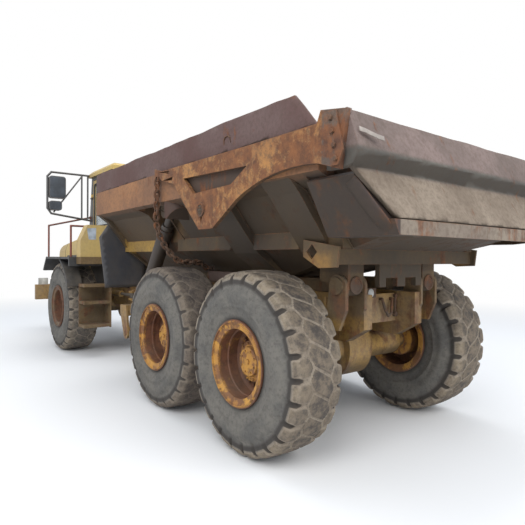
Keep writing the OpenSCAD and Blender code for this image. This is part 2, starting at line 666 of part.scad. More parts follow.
// Stretches of the ledge between the ribs, as distances from the middle axle
LEDGES = [[body_front - 10, 680], [220, -950], [-1350, -2000], [-2360, -2515]];

ledge_w = 120;
housing_h = 110;
flank_slope = (flank_y - knee_y) / (flank_z - knee_z);

function rib_profile(d) = [[floor_y, floor_z], [floor_y + d * 0.6, floor_z], [knee_y + d * 0.8, knee_z - d * 0.4],
  [flank_y + d * 0.9, flank_z - d * 0.3], [rail_y - 20, rail_low - 8], [flank_y, flank_z], [knee_y, knee_z]];

module body_ribs() color([0.42, 0.34, 0.17]) both_sides() {
  for (r = RIBS) difference() {
    along(x_mid + r[0] - r[1] / 2, x_mid + r[0] + r[1] / 2) polygon(rib_profile(r[2]));
    across(0, rail_y) space_below();
  }
  for (s = LEDGES) along(x_mid + s[1], x_mid + s[0]) polygon([[knee_y, knee_z], [knee_y + ledge_w, knee_z],
    [knee_y + ledge_w, knee_z + ledge_w / flank_slope]]);
  // Beam under the rising floor, with an apron behind the hinge
  intersection() {
    union() {
      block(tail_beam[0], tail_beam[1], 0, tail_beam_y, tail_beam[2], tail_beam[3] + 30);
      difference() {
        block(x_tip - 163, x_tip - ear_r - 12, 0, apron_y, tip_z - 14, tail_beam[3] + 30);
        block(x_tip - 164, x_tip - ear_r - 11, 60, apron_y - 90, tip_z - 15, tip_z + 66);
      }
    }
    across(0, rail_y) space_below();
  }
  // Plate with a square hole at the beam's end
  difference() {
    across(tail_beam_y - 20, tail_beam_y) polygon([[x_tip - 340, tail_beam[3] + 30], [x_tip - 320, tail_beam[2] - 20],
      [x_tip - 120, tail_beam[2] - 30], [x_tip + 60, tail_beam[2] + 60], [x_tip + 60, tail_beam[3] + 90]]);
    translate([x_tip - 40, tail_beam_y + 1, tail_beam[3] - 10]) rotate([90, 45, 0]) translate([-45, -45, 0])
      cube([90, 90, 40]);
  }
  // Brackets over the hoist cylinders' heads, with the upper pins' heads on the outside
  for (y = [hoist_y - 100, hoist_y + 70])
    across(y, y + 30) polygon([[x_hoist_top - 120, pocket_top], [x_hoist_top + 120, pocket_top],
      [x_hoist_top + 100, hoist_top_z - 40], [x_hoist_top + 50, hoist_top_z - 80],
      [x_hoist_top - 50, hoist_top_z - 80], [x_hoist_top - 100, hoist_top_z - 40]]);
  bar_y(hoist_pin_d + 30, x_hoist_top, hoist_top_z, hoist_y + 100, hoist_y + 116);
  // Rounded housing under the rail, behind the hoist
  intersection() {
    bar_z(280, x_mid - 330, rail_y - 144, flank_z - housing_h, rail_low);
    across(0, rail_y - 4) polygon([[x_mid - 480, flank_z + 20], [x_mid - 350, flank_z - housing_h],
      [x_mid - 190, flank_z - 60], [x_mid - 190, rail_low], [x_mid - 480, rail_low]]);
    along(x_mid - 480, x_mid - 180) polygon([[flank_y - housing_h * flank_slope, flank_z - housing_h],
      [rail_y, flank_z - housing_h], [rail_y, rail_low], [flank_y, flank_z]]);
  }
  // Bracket under the rail with the tailgate's pivot pin
  difference() {
    across(rail_y - 50, rail_y) polygon(concat([[x_gate + 170, rail_low], [x_gate - 170, rail_low]],
      arc(x_gate, gate_z, 70, 200, 340, 8)));
    along(x_gate - 180, x_gate + 180) polygon([[flank_y, flank_z], [rail_y, rail_low], [rail_y, rail_low + 9],
      [flank_y, rail_low + 9]]);
  }
  bar_y(gate_pin_d, x_gate, gate_z, rail_y - 20, arm_y + arm_t + 14);
}

module side_boards() color([0.33, 0.2, 0.2]) {
  both_sides() across(rail_y - 25, rail_y - 25 + board_t)
    polygon([[x_mid - 2680, rail_top], [x_body, rail_top], [x_body, rail_top + board_h],
      [x_mid - 2430, rail_top + board_h]]);
  block(x_body - board_t, x_body, -rail_y + 25, rail_y - 25, rail_top, rail_top + board_h);
}

// Guards across the front of the body, ahead of the middle wheels
guard_t = 25;

module guard_plates() color([0.2, 0.21, 0.24]) both_sides()
  along(x_body, x_body + guard_t) polygon([[650, floor_z - 265], [1250, floor_z - 265], [1340, knee_z + 210],
    [flank_y - 40, flank_z + 50], [900, flank_z + 50], [600, knee_z - 100]]);

// Tailgate

arm_y = rail_y + arm_gap;
x_panel_top = x_tail + 190;
x_fold = x_tail + 95;
x_fold_low = x_tail + 160;
panel_fold_z = rail_low + 80;
panel_under_z = flank_z + 60;
gate_seam = 12;

// Sections behind the rails' ends, from the post to the folded panel
end_plate_t = 40;
x_post = x_tail + 375;

module tailgate_panel() color([0.42, 0.35, 0.33]) {
  folded_panel();
  both_sides() across(arm_y - end_plate_t, arm_y) polygon([[x_post, panel_under_z + 2],
    [x_post + 15, rail_top + 40], [x_panel_top + 10, rail_top + 40], [x_panel_top + 5, rail_top + 20],
    [x_fold + 10, panel_fold_z], [x_fold_low + 5, panel_under_z + 2]]);
}

module folded_panel() intersection() {
  across(-arm_y, arm_y) polygon([[x_panel_top, rail_top + 25], [x_fold, panel_fold_z],
    [x_fold_low, panel_under_z], [x_tail + 10, lip_top + gate_seam], [x_tail + 10 + panel_t, lip_top + gate_seam],
    [x_fold_low + panel_t, panel_under_z], [x_fold + 5 + panel_t, panel_fold_z],
    [x_panel_top + panel_t, rail_top + 25]]);
  along(x_tail, x_tail + 400) mirrored_profile([[lip_y - 20, lip_top], [arm_y, panel_under_z + 25],
    [arm_y, rail_top + 50]]);
}

// Side outline of an arm: bracket for the chain, plate with its window, V down to the pivot
x_arch = x_post + 262;
arch_r = 1838;
// Chain: distance of its upper part from the middle, and the eye that holds it
chain_y = rail_y + 46;
x_eye = x_gate + 965;
eye_z = rail_top - 67;
eye_hole_d = 40;
arm_outline = concat([[x_gate + 1023, rail_top + 40], [x_gate + 853, rail_top - 100], [x_gate + 560, rail_top - 174],
  [x_gate + 327, gate_z + 75], [x_gate + 44, gate_z - 184], [x_gate - 196, gate_z - 184]],
  arc(x_arch, gate_z + 204 - arch_r, arch_r, 65.7, 96.4, 8),
  [[x_post - 143, flank_z + 47], [x_post - 205, rail_top + 20], [x_post + 25, rail_top + 60],
  [x_post + 65, rail_top - 30], [x_gate + 850, rail_top - 5]]);
// Window and the bracket's two slots, as distances from the pivot
ARM_WINDOW = [[352, 334], [-728, 298], [-496, 175], [158, 163]];
ARM_SLOTS = [[[921, 476], [663, 456], [673, 425]], [[831, 370], [581, 387], [597, 349]]];
plate_hole_d = 22;

module tailgate_arms() color([0.6, 0.38, 0.18]) both_sides() {
  difference() {
    across(arm_y, arm_y + arm_t) polygon(arm_outline);
    for (p = concat([ARM_WINDOW], ARM_SLOTS)) across(arm_y - 1, arm_y + arm_t + 1)
      polygon([for (q = p) [x_gate + q[0], gate_z + q[1]]]);
    bar_y(gate_pin_d + 2 * fit_gap, x_gate, gate_z, arm_y - 1, arm_y + arm_t + 1);
    // Slit below the pin
    across(arm_y - 1, arm_y + arm_t + 1) polygon([[x_gate - 30, gate_z - gate_pin_d / 2 + 12],
      [x_gate + 30, gate_z - gate_pin_d / 2 + 12], [x_gate + 5, gate_z - 120], [x_gate - 5, gate_z - 120]]);
  }
  // Eye plate for the chain under the bracket's tip
  difference() {
    across(chain_y - 8, chain_y + 8) polygon([[x_eye - 36, eye_z - 34], [x_eye + 36, eye_z - 34],
      [x_eye + 52, eye_z + 110], [x_eye - 60, eye_z + 70]]);
    bar_y(eye_hole_d, x_eye, eye_z, chain_y - 9, chain_y + 9);
  }
  // Wear plate on the post, with its bolt holes
  difference() {
    across(arm_y + arm_t, arm_y + arm_t + 16) polygon([[x_post - 20, rail_top + 30], [x_post - 130, rail_top + 26],
      [x_post - 190, panel_fold_z], [x_post - 150, panel_under_z + 10], [x_post - 90, panel_under_z + 10]]);
    for (i = [0 : 3])
      bar_y(plate_hole_d, x_post - 85 - 16 * i, rail_top - 20 - 90 * i, arm_y + arm_t + 5, arm_y + arm_t + 17);
  }
}

// Chains: links cut from plate, every second one turned a quarter
link_pitch = 62;
link_bar = 20;
link_l = link_pitch + 2 * link_bar + 2;
link_w = 3.5 * link_bar;

// Outline of a bar with round ends
function round_bar(l, w) = concat(arc((l - w) / 2, 0, w / 2, -90, 90, 4), arc((w - l) / 2, 0, w / 2, 90, 270, 4));

// A link along Z, with its flat sides towards X
module link() rotate([0, 90, 0]) difference() {
  translate([0, 0, -link_bar / 2]) linear_extrude(link_bar) polygon(round_bar(link_l, link_w));
  translate([0, 0, -link_bar]) linear_extrude(2 * link_bar)
    polygon(round_bar(link_l - 2 * link_bar, link_w - 2 * link_bar));
}

// Links along a route, as many as given
module chain(route, links) {
  step = route_length(route, 1) / links;
  for (i = [1 : links]) {
    a = route_point(route, (i - 1) * step, 0);
    b = route_point(route, i * step, 0);
    u = (a - b) / norm(a - b);
    translate((a + b) / 2) rotate([-asin(u[1]), atan2(u[0], u[2]), 0]) rotate([0, 0, i % 2 == 0 ? 90 : 0]) link();
  }
}

// Length of a route from point i - 1 on, and the point a distance along it
function route_length(route, i) = norm(route[i] - route[i - 1])
  + (i < len(route) - 1 ? route_length(route, i + 1) : 0);
function route_point(route, d, i) = let (l = norm(route[i + 1] - route[i]))
  d <= l || i == len(route) - 2 ? route[i] + (route[i + 1] - route[i]) * d / l : route_point(route, d - l, i + 1);

// How far from an eye's middle a chain starts when its link bears on the rim
seat_drop = 15.4;
hook_drop = seat_drop + 1.1;
// Routes from the eye below the arm's bracket down beside the body, then over the middle tyre to the frame's beam
hang_route = [[x_eye, chain_y, eye_z - seat_drop], [x_eye, chain_y, eye_z - seat_drop - 70],
  [x_eye + 15, chain_y, flank_z], [x_eye + 20, chain_y, flank_z - 110]];
slack_route = [[x_eye + 21, chain_y - 2, flank_z - 160], [x_eye + 30, chain_y - 36, flank_z - 270],
  [x_eye + 40, chain_y - 106, knee_z + 50], [x_eye + 45, chain_y - 196, knee_z - 50],
  [x_eye + 55, chain_y - 296, tyre_d + 58], [x_eye + 75, chain_y - 400, tyre_d + 50],
  [x_eye + 100, chain_y - 560, tyre_d + 50], [x_eye + 125, chain_y - 650, tyre_d + 26],
  [x_hook, anchor_y + hook_drop + link_pitch + 8, anchor_z + 34], [x_hook, anchor_y + hook_drop, anchor_z + 34]];

module tailgate_chains() color([0.3, 0.22, 0.18]) both_sides() chain(hang_route, 7);

module slack_chains() color([0.3, 0.22, 0.18]) both_sides() chain(slack_route, 18);

// Cab and hood

cab_y = cab_w / 2;
// Inner edge of the fenders and the deck beside the cab
deck_in = 800;
screen_z = hood_rear_z + 60;
screen_lean = 150;
x_fender_rear = x_cab_rear;
x_fender_front = x_front + wheel_z + 120;
door_x0 = x_cab_rear + 170;
door_x1 = x_cab_front - 230;
door_z0 = cab_floor_z + 60;
door_z1 = cab_top_z - 60;
window_low = cab_floor_z + 520;

cab_side = [[x_cab_rear, cab_floor_z], [x_cab_front, cab_floor_z], [x_cab_front, screen_z],
  [x_cab_front - screen_lean, cab_top_z], [x_cab_rear, cab_top_z]];

// Door hinges: axis in X and Y, then the heights of the two knuckles
door_axis = [door_x1 + 7, cab_y + 20];
KNUCKLE_Z = [door_z0 + 220, door_z1 - 330];
knuckle_h = 60;
knuckle_d = 40;
door_pin_d = 16;

module cab_shell() color([0.25, 0.26, 0.27]) {
  cab_body();
  for (z = KNUCKLE_Z) {
    block(door_axis[0] - 14, door_axis[0] + 60, cab_y - 1, door_axis[1] + 14, z - 30, z);
    bar_z(door_pin_d, door_axis[0], door_axis[1], z - 30, z + knuckle_h + 8);
  }
}

module cab_body() difference() {
  across(-cab_y, cab_y) polygon(cab_side);
  // Hollow inside
  across(-cab_y + cab_wall, cab_y - cab_wall) polygon([[x_cab_rear + cab_wall, cab_floor_z + cab_wall],
    [x_cab_front - cab_wall, cab_floor_z + cab_wall], [x_cab_front - cab_wall, screen_z],
    [x_cab_front - screen_lean - cab_wall, cab_top_z + 1], [x_cab_rear + cab_wall, cab_top_z + 1]]);
  // Windscreen and rear window
  block(x_cab_front - screen_lean - cab_wall - 60, x_cab_front + 1, -cab_y + 130, cab_y - 130,
    screen_z + 40, cab_top_z - 90);
  block(x_cab_rear - 1, x_cab_rear + cab_wall + 1, -cab_y + 180, cab_y - 180, window_low + 100, cab_top_z - 120);
  // Door opening on the left, side windows on the right
  block(door_x0, door_x1, cab_y - cab_wall - 1, cab_y + 1, door_z0, door_z1);
  block(door_x0, door_x1, -cab_y - 1, -cab_y + cab_wall + 1, window_low, door_z1 - 40);
}

module cab_roof() color([0.75, 0.62, 0.25]) intersection() {
  across(-cab_y - 50, cab_y + 50) polygon([[x_cab_rear - 40, cab_top_z], [x_cab_front - screen_lean + 60, cab_top_z],
    [x_cab_front - screen_lean + 60, cab_top_z + roof_t * 0.5], [x_cab_front - screen_lean - 40, cab_top_z + roof_t],
    [x_cab_rear + 40, cab_top_z + roof_t], [x_cab_rear - 40, cab_top_z + roof_t * 0.6]]);
  along(x_cab_rear - 41, x_cab_front) polygon([[-cab_y - 50, cab_top_z], [cab_y + 50, cab_top_z],
    [cab_y + 50, cab_top_z + roof_t * 0.5], [cab_y - 20, cab_top_z + roof_t], [-cab_y + 20, cab_top_z + roof_t],
    [-cab_y - 50, cab_top_z + roof_t * 0.5]]);
}

module cab_door() color([0.72, 0.52, 0.16]) {
  difference() {
    block(door_x0 + pass_gap, door_x1 - pass_gap, cab_y - cab_wall, cab_y, door_z0 + pass_gap, door_z1 - pass_gap);
    block(door_x0 + 80, door_x1 - 80, cab_y - cab_wall - 1, cab_y + 1, window_low, door_z1 - 80);
  }
  // Hinge straps with their knuckles
  for (z = KNUCKLE_Z) difference() {
    union() {
      block(door_axis[0] - 90, door_axis[0], cab_y, cab_y + 12, z + fit_gap, z + knuckle_h);
      bar_z(knuckle_d - 4, door_axis[0], door_axis[1], z + fit_gap, z + knuckle_h);
    }
    bar_z(door_pin_d + 2 * fit_gap, door_axis[0], door_axis[1], z - 1, z + knuckle_h + 1);
  }
}

// Seat: distance of its middle from the cab's rear wall, base
seat_back = 400;
seat_base_w = 400;
seat_base_h = 330;

module cab_interior() color([0.13, 0.13, 0.14]) {
  // Seat base, cushion, back, then the dash and the steering column
  seat_x = x_cab_rear + seat_back;
  block(seat_x - 180, seat_x + 180, -seat_base_w / 2, seat_base_w / 2, cab_floor_z + cab_wall,
    cab_floor_z + seat_base_h);
  block(seat_x - 250, seat_x + 270, -260, 260, cab_floor_z + seat_base_h, cab_floor_z + 450);
  across(-240, 240) polygon([[seat_x - 250, cab_floor_z + 450], [seat_x - 140, cab_floor_z + 450],
    [seat_x - 200, cab_floor_z + 1120], [seat_x - 290, cab_floor_z + 1120]]);
  block(x_cab_front - cab_wall - 260, x_cab_front - cab_wall, -cab_y + cab_wall, cab_y - cab_wall,
    cab_floor_z + 300, screen_z - 20);
  rod([x_cab_front - 300, 0, cab_floor_z + 440], [x_cab_front - 480, 0, cab_floor_z + 700], 60);
  translate([x_cab_front - 480, 0, cab_floor_z + 700]) rotate([0, -37, 0]) cylinder(d = 440, h = 30);
}

glass_t = 8;

module cab_glass() color([0.6, 0.7, 0.75, 0.4]) {
  lean = [screen_lean / (cab_top_z - screen_z), 1];
  across(-cab_y + 130, cab_y - 130) polygon([
    [x_cab_front - lean[0] * 40 - 30, screen_z + 40], [x_cab_front - lean[0] * 40 - 30 - glass_t, screen_z + 40],
    [x_cab_front - screen_lean + lean[0] * 90 - 30 - glass_t, cab_top_z - 90],
    [x_cab_front - screen_lean + lean[0] * 90 - 30, cab_top_z - 90]]);
  block(x_cab_rear + 26, x_cab_rear + 26 + glass_t, -cab_y + 180, cab_y - 180, window_low + 100, cab_top_z - 120);
  block(door_x0, door_x1, -cab_y + 26, -cab_y + 26 + glass_t, window_low, door_z1 - 40);
}

module door_glass() color([0.6, 0.7, 0.75, 0.4])
  block(door_x0 + 80, door_x1 - 80, cab_y - 26 - glass_t, cab_y - 26, window_low, door_z1 - 80);

x_hood_rear = x_cab_front + 10;
x_hood_nose = x_nose - 60;
hood_y = hood_w / 2;
hood_low = front_rail_top + 30;

function hood_section(y, t) = [[x_hood_rear, hood_low - t], [x_hood_nose - t, hood_low - t],
  [x_hood_nose - t, hood_nose_z - 200 - t / 2], [x_hood_nose - 60 - t, hood_nose_z - 60 - t],
  [x_hood_nose - 190 - t, hood_nose_z - t], [x_hood_rear, hood_rear_z - t]];

hood_pin_d = 30;
hood_pin = [x_nose - 110, bumper_top + 110];
hood_hinge_y = 320;

grille_w = 900;
grille_low = hood_low + 90;
grille_top = hood_nose_z - 260;

module hood() color([0.76, 0.56, 0.16]) {
  hood_skin();
  // Hinge plates behind the nose
  both_sides() difference() {
    across(hood_hinge_y, hood_hinge_y + 30)
      polygon([[hood_pin[0] - 30, hood_pin[1] - 30], [x_hood_nose - 5, hood_pin[1] - 30],
      [x_hood_nose - 5, hood_pin[1] + 60], [hood_pin[0] - 30, hood_pin[1] + 30]]);
    bar_y(hood_pin_d + 2 * fit_gap, hood_pin[0], hood_pin[1], hood_hinge_y - 1, hood_hinge_y + 31);
  }
}

module hood_skin() difference() {
  intersection() {
    across(-hood_y, hood_y) polygon(hood_section(0, 0));
    along(x_hood_rear, x_hood_nose) polygon([[-hood_y, hood_low], [hood_y, hood_low], [hood_y, hood_nose_z - 120],
      [hood_y - 130, hood_rear_z], [-hood_y + 130, hood_rear_z], [-hood_y, hood_nose_z - 120]]);
  }
  intersection() {
    across(-hood_y + hood_wall, hood_y - hood_wall) polygon(concat([[x_hood_rear - 1, hood_low - 1]],
      [for (q = [1 : 4]) hood_section(0, hood_wall)[q]], [[x_hood_rear - 1, hood_rear_z - hood_wall]]));
    along(x_hood_rear - 1, x_hood_nose) polygon([[-hood_y, hood_low - 50], [hood_y, hood_low - 50],
      [hood_y - hood_wall, hood_nose_z - 130], [hood_y - 140, hood_rear_z - hood_wall],
      [-hood_y + 140, hood_rear_z - hood_wall], [-hood_y + hood_wall, hood_nose_z - 130]]);
  }
  // Notches around the hinge stands, and the opening for the grille
  both_sides() block(x_hood_nose - 60, x_hood_nose + 1, hood_hinge_y - 58, hood_hinge_y + 2,
    hood_low - 1, hood_pin[1] + 60);
  block(x_hood_nose - 100, x_hood_nose + 1, -grille_w / 2, grille_w / 2, grille_low, grille_top);
}

grille_bars = 9;

module grille() color([0.12, 0.12, 0.13]) {
  x0 = x_hood_nose - 24;
  difference() {
    block(x0, x0 + 20, -grille_w / 2, grille_w / 2, grille_low, grille_top);
    for (i = [0 : grille_bars - 1]) {
      pitch = (grille_top - grille_low - 40) / grille_bars;
      block(x0 - 1, x0 + 21, -grille_w / 2 + 40, grille_w / 2 - 40, grille_low + 20 + i * pitch + pitch * 0.3,
        grille_low + 20 + (i + 1) * pitch);
    }
  }
}

// Engine and gearbox as two blocks with feet on the frame
engine_y = front_rail_y - front_rail_w - 20;
x_engine_rear = x_cab_front + 150;
gearbox_low = wheel_z + diff_d / 2 + 20;

module engine_block() color([0.22, 0.22, 0.22]) {
  block(x_engine_rear, x_hood_nose - 500, -engine_y, engine_y, front_rail_low + 60, hood_nose_z - 180);
  block(x_front - 440, x_engine_rear, -engine_y + 20, engine_y - 20, gearbox_low, front_rail_top + 340);
  for (x = [x_engine_rear + 120, x_hood_nose - 700]) both_sides()
    block(x, x + 120, engine_y - 5, front_rail_y - front_rail_w - fit_gap, front_rail_top - 120, front_rail_top - 40);
  both_sides() block(x_front + 340, x_front + 420, 120, 200, front_rail_top - 80 + fit_gap, gearbox_low + 5);
}

fender_t = 40;
fender_z = tyre_d + 102;
fender_y = wheel_y + tyre_w / 2 + 12;

x_fender_stay = x_fender_front - 220;
fender_stay_y = 730;

module front_fenders() color([0.1, 0.1, 0.11]) both_sides() {
  // Top over the tyre with a sloping front
  across(deck_in, fender_y) polygon([[x_fender_rear, fender_z - 160], [x_fender_rear, fender_z],
    [x_fender_front - 250, fender_z], [x_fender_front, fender_z - 260], [x_fender_front - 45, fender_z - 275],
    [x_fender_front - 270, fender_z - fender_t], [x_fender_rear + 50, fender_z - fender_t],
    [x_fender_rear + 50, fender_z - 160]]);
  // Flap that follows the tyre down behind it
  across(fender_y - 250, fender_y) polygon(concat(arc(x_front, wheel_z, wheel_z + 70, 118, 153, 8),
    arc(x_front, wheel_z, wheel_z + 70 + fender_t, 153, 105, 8)));
  // Struts to the cab's posts and the stay down to the frame's bracket
  for (p = CAB_POSTS) block(p[0] - 35, p[0] + 35, p[1], deck_in + 60, fender_z - fender_t - 30, fender_z - fender_t);
  block(x_fender_stay - 40, x_fender_stay + 40, fender_stay_y, fender_stay_y + 40,
    front_rail_top - 100, fender_z - fender_t);
  block(x_fender_stay - 40, x_fender_stay + 40, fender_stay_y, deck_in + 60,
    fender_z - fender_t - 30, fender_z - fender_t);
}

// Steps behind the front wheels. Columns: height of the tread's top
STEP_Z = [fender_z - 460, fender_z - 750, fender_z - 1150];
x_step_back = x_hitch + 45;
x_step_front = x_front - wheel_z - 40;
step_in = deck_in;
step_w = 440;
step_out = deck_in + step_w;

module cab_steps() color([0.6, 0.45, 0.2]) both_sides() {
  // Deck level with the fender, hanging plate and treads
  block(x_step_back, x_cab_rear, front_rail_y, step_out + 60, fender_z - 120, fender_z);
  block(x_step_back, x_step_front, step_in - 20, step_in, STEP_Z[2] - 60, fender_z - 120);
  for (z = STEP_Z) block(x_step_back, x_step_front, step_in, step_out, z - 50, z);
  block(x_step_front - 20, x_step_front, step_in, step_out, STEP_Z[2] - 50, STEP_Z[0]);
}

module side_boxes() color([0.78, 0.6, 0.2]) both_sides()
  along(x_step_back + 10, x_cab_rear - 10) polygon([[deck_in - 260, fender_z], [step_out + 60, fender_z],
    [step_out + 60, fender_z + 280], [step_out - 60, fender_z + 540], [deck_in - 260, fender_z + 540]]);

rail_d = 34;

post_out = fender_y - 50;

module fender_rails() color([0.45, 0.2, 0.18]) both_sides() {
  tube([[x_fender_rear + 80, post_out, fender_z], [x_fender_rear + 80, post_out, fender_z + 530],
    [x_fender_rear + 80, cab_y + pad_t, fender_z + 530]], rail_d);
  cab_pad(x_fender_rear + 80, fender_z + 530);
  tube([[x_front + 675, post_out, fender_z], [x_front + 675, post_out, fender_z + 610],
    [x_cab_front - 100, cab_y + pad_t, screen_z + 200]], rail_d);
  cab_pad(x_cab_front - 100, screen_z + 200);
}

// Pad between the cab's wall and the end of a tube
pad_t = 25;

module cab_pad(x, z) block(x - 25, x + 25, cab_y + fit_gap, cab_y + pad_t + 4, z - 25, z + 25);

mirror_tube = 38;
x_mirror = x_cab_front - screen_lean + 20;

// Mirror heads: height of the top below the cab's roof, height, width
MIRROR_HEADS = [[30, 420, 300], [500, 180, 230]];

module mirrors() color([0.13, 0.14, 0.16]) both_sides() {
  // Loop out from the cab, with two uprights and a brace near it
  tube([[x_mirror, cab_y + 50 + fit_gap, cab_top_z + 45], [x_mirror, mirror_y - 90, cab_top_z + 45],
    [x_mirror, mirror_y - mirror_tube / 2, cab_top_z - 40], [x_mirror, mirror_y - mirror_tube / 2, cab_top_z - 640],
    [x_mirror, mirror_y - 90, cab_top_z - 740], [x_mirror, cab_y + pad_t, cab_top_z - 840]], mirror_tube);
  cab_pad(x_mirror, cab_top_z - 840);
  for (y = [cab_y + 75, cab_y + 190]) bar_z(mirror_tube - 6, x_mirror, y, cab_top_z - 800, cab_top_z + 40);
  rod([x_mirror, cab_y + 190, cab_top_z + 20], [x_mirror, mirror_y - 130, cab_top_z - 715], mirror_tube - 10);
  // Large head over a small one, both with rounded corners
  for (m = MIRROR_HEADS) translate([x_mirror - 55, mirror_y - mirror_tube - 2 - m[2], cab_top_z - m[0] - m[1]])
    rotate([90, 0, 90]) linear_extrude(110) rounded(m[2], m[1], 50);
}

// A rectangle from the origin with round corners
module rounded(w, h, r) polygon(concat(arc(w - r, h - r, r, 0, 90, 4), arc(r, h - r, r, 90, 180, 4),
  arc(r, r, r, 180, 270, 4), arc(w - r, r, r, 270, 360, 4)));

module headlamps() color([0.8, 0.8, 0.78]) both_sides()
  block(x_nose - 130, x_nose - 60, 930, 1130, bumper_top, bumper_top + 150);

module exhaust() color([0.3, 0.25, 0.22]) {
  y = -deck_in - 120;
  x = x_cab_front + 160;
  bar_z(200, x, y, fender_z, fender_z + 700);
  bar_z(110, x, y, fender_z + 700, fender_z + 1350);
}

// Fittings on the tail member: lamp box, levers, and a hose that is held at both ends
hose_d = 28;
// Points of the hose: distance behind the tail member, across, and below the frame's top
HOSE = [[30 + fit_gap, -60, 70], [60, -60, 70], [75, -95, 185], [75, -140, 235], [75, -185, 215], [60, -215, 75],
  [30 + fit_gap, -215, 75]];
lever_y = 285;

module rear_fittings() color([0.5, 0.48, 0.44]) {
  block(x_cross - 110, x_cross - 30, 95, 245, rear_rail_top - 45, rear_rail_top + 45);
  both_sides() {
    bar_z(24, x_cross - 44, lever_y, rear_rail_top - 230, rear_rail_top - 40);
    bar_x(52, lever_y, rear_rail_top - 230, x_cross - 60, x_cross - 30);
    bar_x(40, lever_y, rear_rail_top - 45, x_cross - 60, x_cross - 30);
  }
  tube([for (p = HOSE) [x_cross - p[0], p[1], rear_rail_top - p[2]]], hose_d);
}

front_frame();
front_axle();
engine_block();
hood();
grille();
cab_shell();
cab_roof();
cab_door();
cab_interior();
cab_glass();
door_glass();
front_fenders();
cab_steps();
side_boxes();
fender_rails();
mirrors();
headlamps();
exhaust();
hitch_yoke();
rear_frame();
rear_axles();
bogie_beams();
rear_fittings();
tyre_at(0, 1);  // tyre_front_left
tyre_at(0, -1);  // tyre_front_right
tyre_at(1, 1);  // tyre_middle_left
tyre_at(1, -1);  // tyre_middle_right
tyre_at(2, 1);  // tyre_rear_left
tyre_at(2, -1);  // tyre_rear_right
rim_at(0, 1);  // rim_front_left
rim_at(0, -1);  // rim_front_right
rim_at(1, 1);  // rim_middle_left
rim_at(1, -1);  // rim_middle_right
rim_at(2, 1);  // rim_rear_left
rim_at(2, -1);  // rim_rear_right
body_shell();
body_ribs();
side_boards();
guard_plates();
tailgate_panel();
tailgate_arms();
tailgate_chains();
slack_chains();
hoist_barrels();
hoist_stages();
hoist_rods();
steer_barrel();  // steer_barrel_left
mirror([0, 1, 0]) steer_barrel();  // steer_barrel_right
steer_rod();  // steer_rod_left
mirror([0, 1, 0]) steer_rod();  // steer_rod_right
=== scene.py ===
"""Six-wheel articulated dump truck, weathered, in metres: +X forward, +Y left, +Z up."""

import math

import bmesh
import bpy
from mathutils import Matrix, Vector, noise


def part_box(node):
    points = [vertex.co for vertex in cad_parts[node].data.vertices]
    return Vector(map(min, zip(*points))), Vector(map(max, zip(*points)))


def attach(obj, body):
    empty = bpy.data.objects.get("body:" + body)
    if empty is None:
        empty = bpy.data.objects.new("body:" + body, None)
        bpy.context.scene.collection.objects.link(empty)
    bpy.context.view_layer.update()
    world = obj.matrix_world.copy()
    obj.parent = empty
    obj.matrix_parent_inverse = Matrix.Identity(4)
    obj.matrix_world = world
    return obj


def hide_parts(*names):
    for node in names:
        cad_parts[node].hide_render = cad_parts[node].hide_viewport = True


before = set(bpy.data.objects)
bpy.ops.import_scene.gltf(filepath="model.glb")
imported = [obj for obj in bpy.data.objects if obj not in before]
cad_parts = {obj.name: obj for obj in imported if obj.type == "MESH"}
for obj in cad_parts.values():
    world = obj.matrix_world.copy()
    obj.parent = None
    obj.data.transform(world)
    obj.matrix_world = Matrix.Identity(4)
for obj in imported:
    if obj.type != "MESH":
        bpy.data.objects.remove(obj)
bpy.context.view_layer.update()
scene = bpy.context.scene


# Camera: where the photograph was taken from, in the truck's frame

CAMERA_PLACE = Vector((-6.901, 3.649, 1.724))
CAMERA_YAW = math.radians(-37.52)
CAMERA_PITCH = math.radians(-0.57)
CAMERA_ROLL = math.radians(0.38)
CAMERA_LENS = 32.15
SENSOR_WIDTH = 36.0
FARTHEST_SEEN = 200.0


def make_camera():
    forward = Vector((math.cos(CAMERA_YAW) * math.cos(CAMERA_PITCH),
                      math.sin(CAMERA_YAW) * math.cos(CAMERA_PITCH), math.sin(CAMERA_PITCH)))
    level_right = Vector((math.sin(CAMERA_YAW), -math.cos(CAMERA_YAW), 0.0))
    level_up = level_right.cross(forward)
    right = math.cos(CAMERA_ROLL) * level_right + math.sin(CAMERA_ROLL) * level_up
    up = -math.sin(CAMERA_ROLL) * level_right + math.cos(CAMERA_ROLL) * level_up
    data = bpy.data.cameras.new("camera")
    data.lens = CAMERA_LENS
    data.sensor_width = SENSOR_WIDTH
    data.clip_end = FARTHEST_SEEN
    camera = bpy.data.objects.new("camera", data)
    camera.matrix_world = Matrix((right, up, -forward)).transposed().to_4x4()
    camera.matrix_world.translation = CAMERA_PLACE
    scene.collection.objects.link(camera)
    scene.camera = camera


make_camera()


# Materials

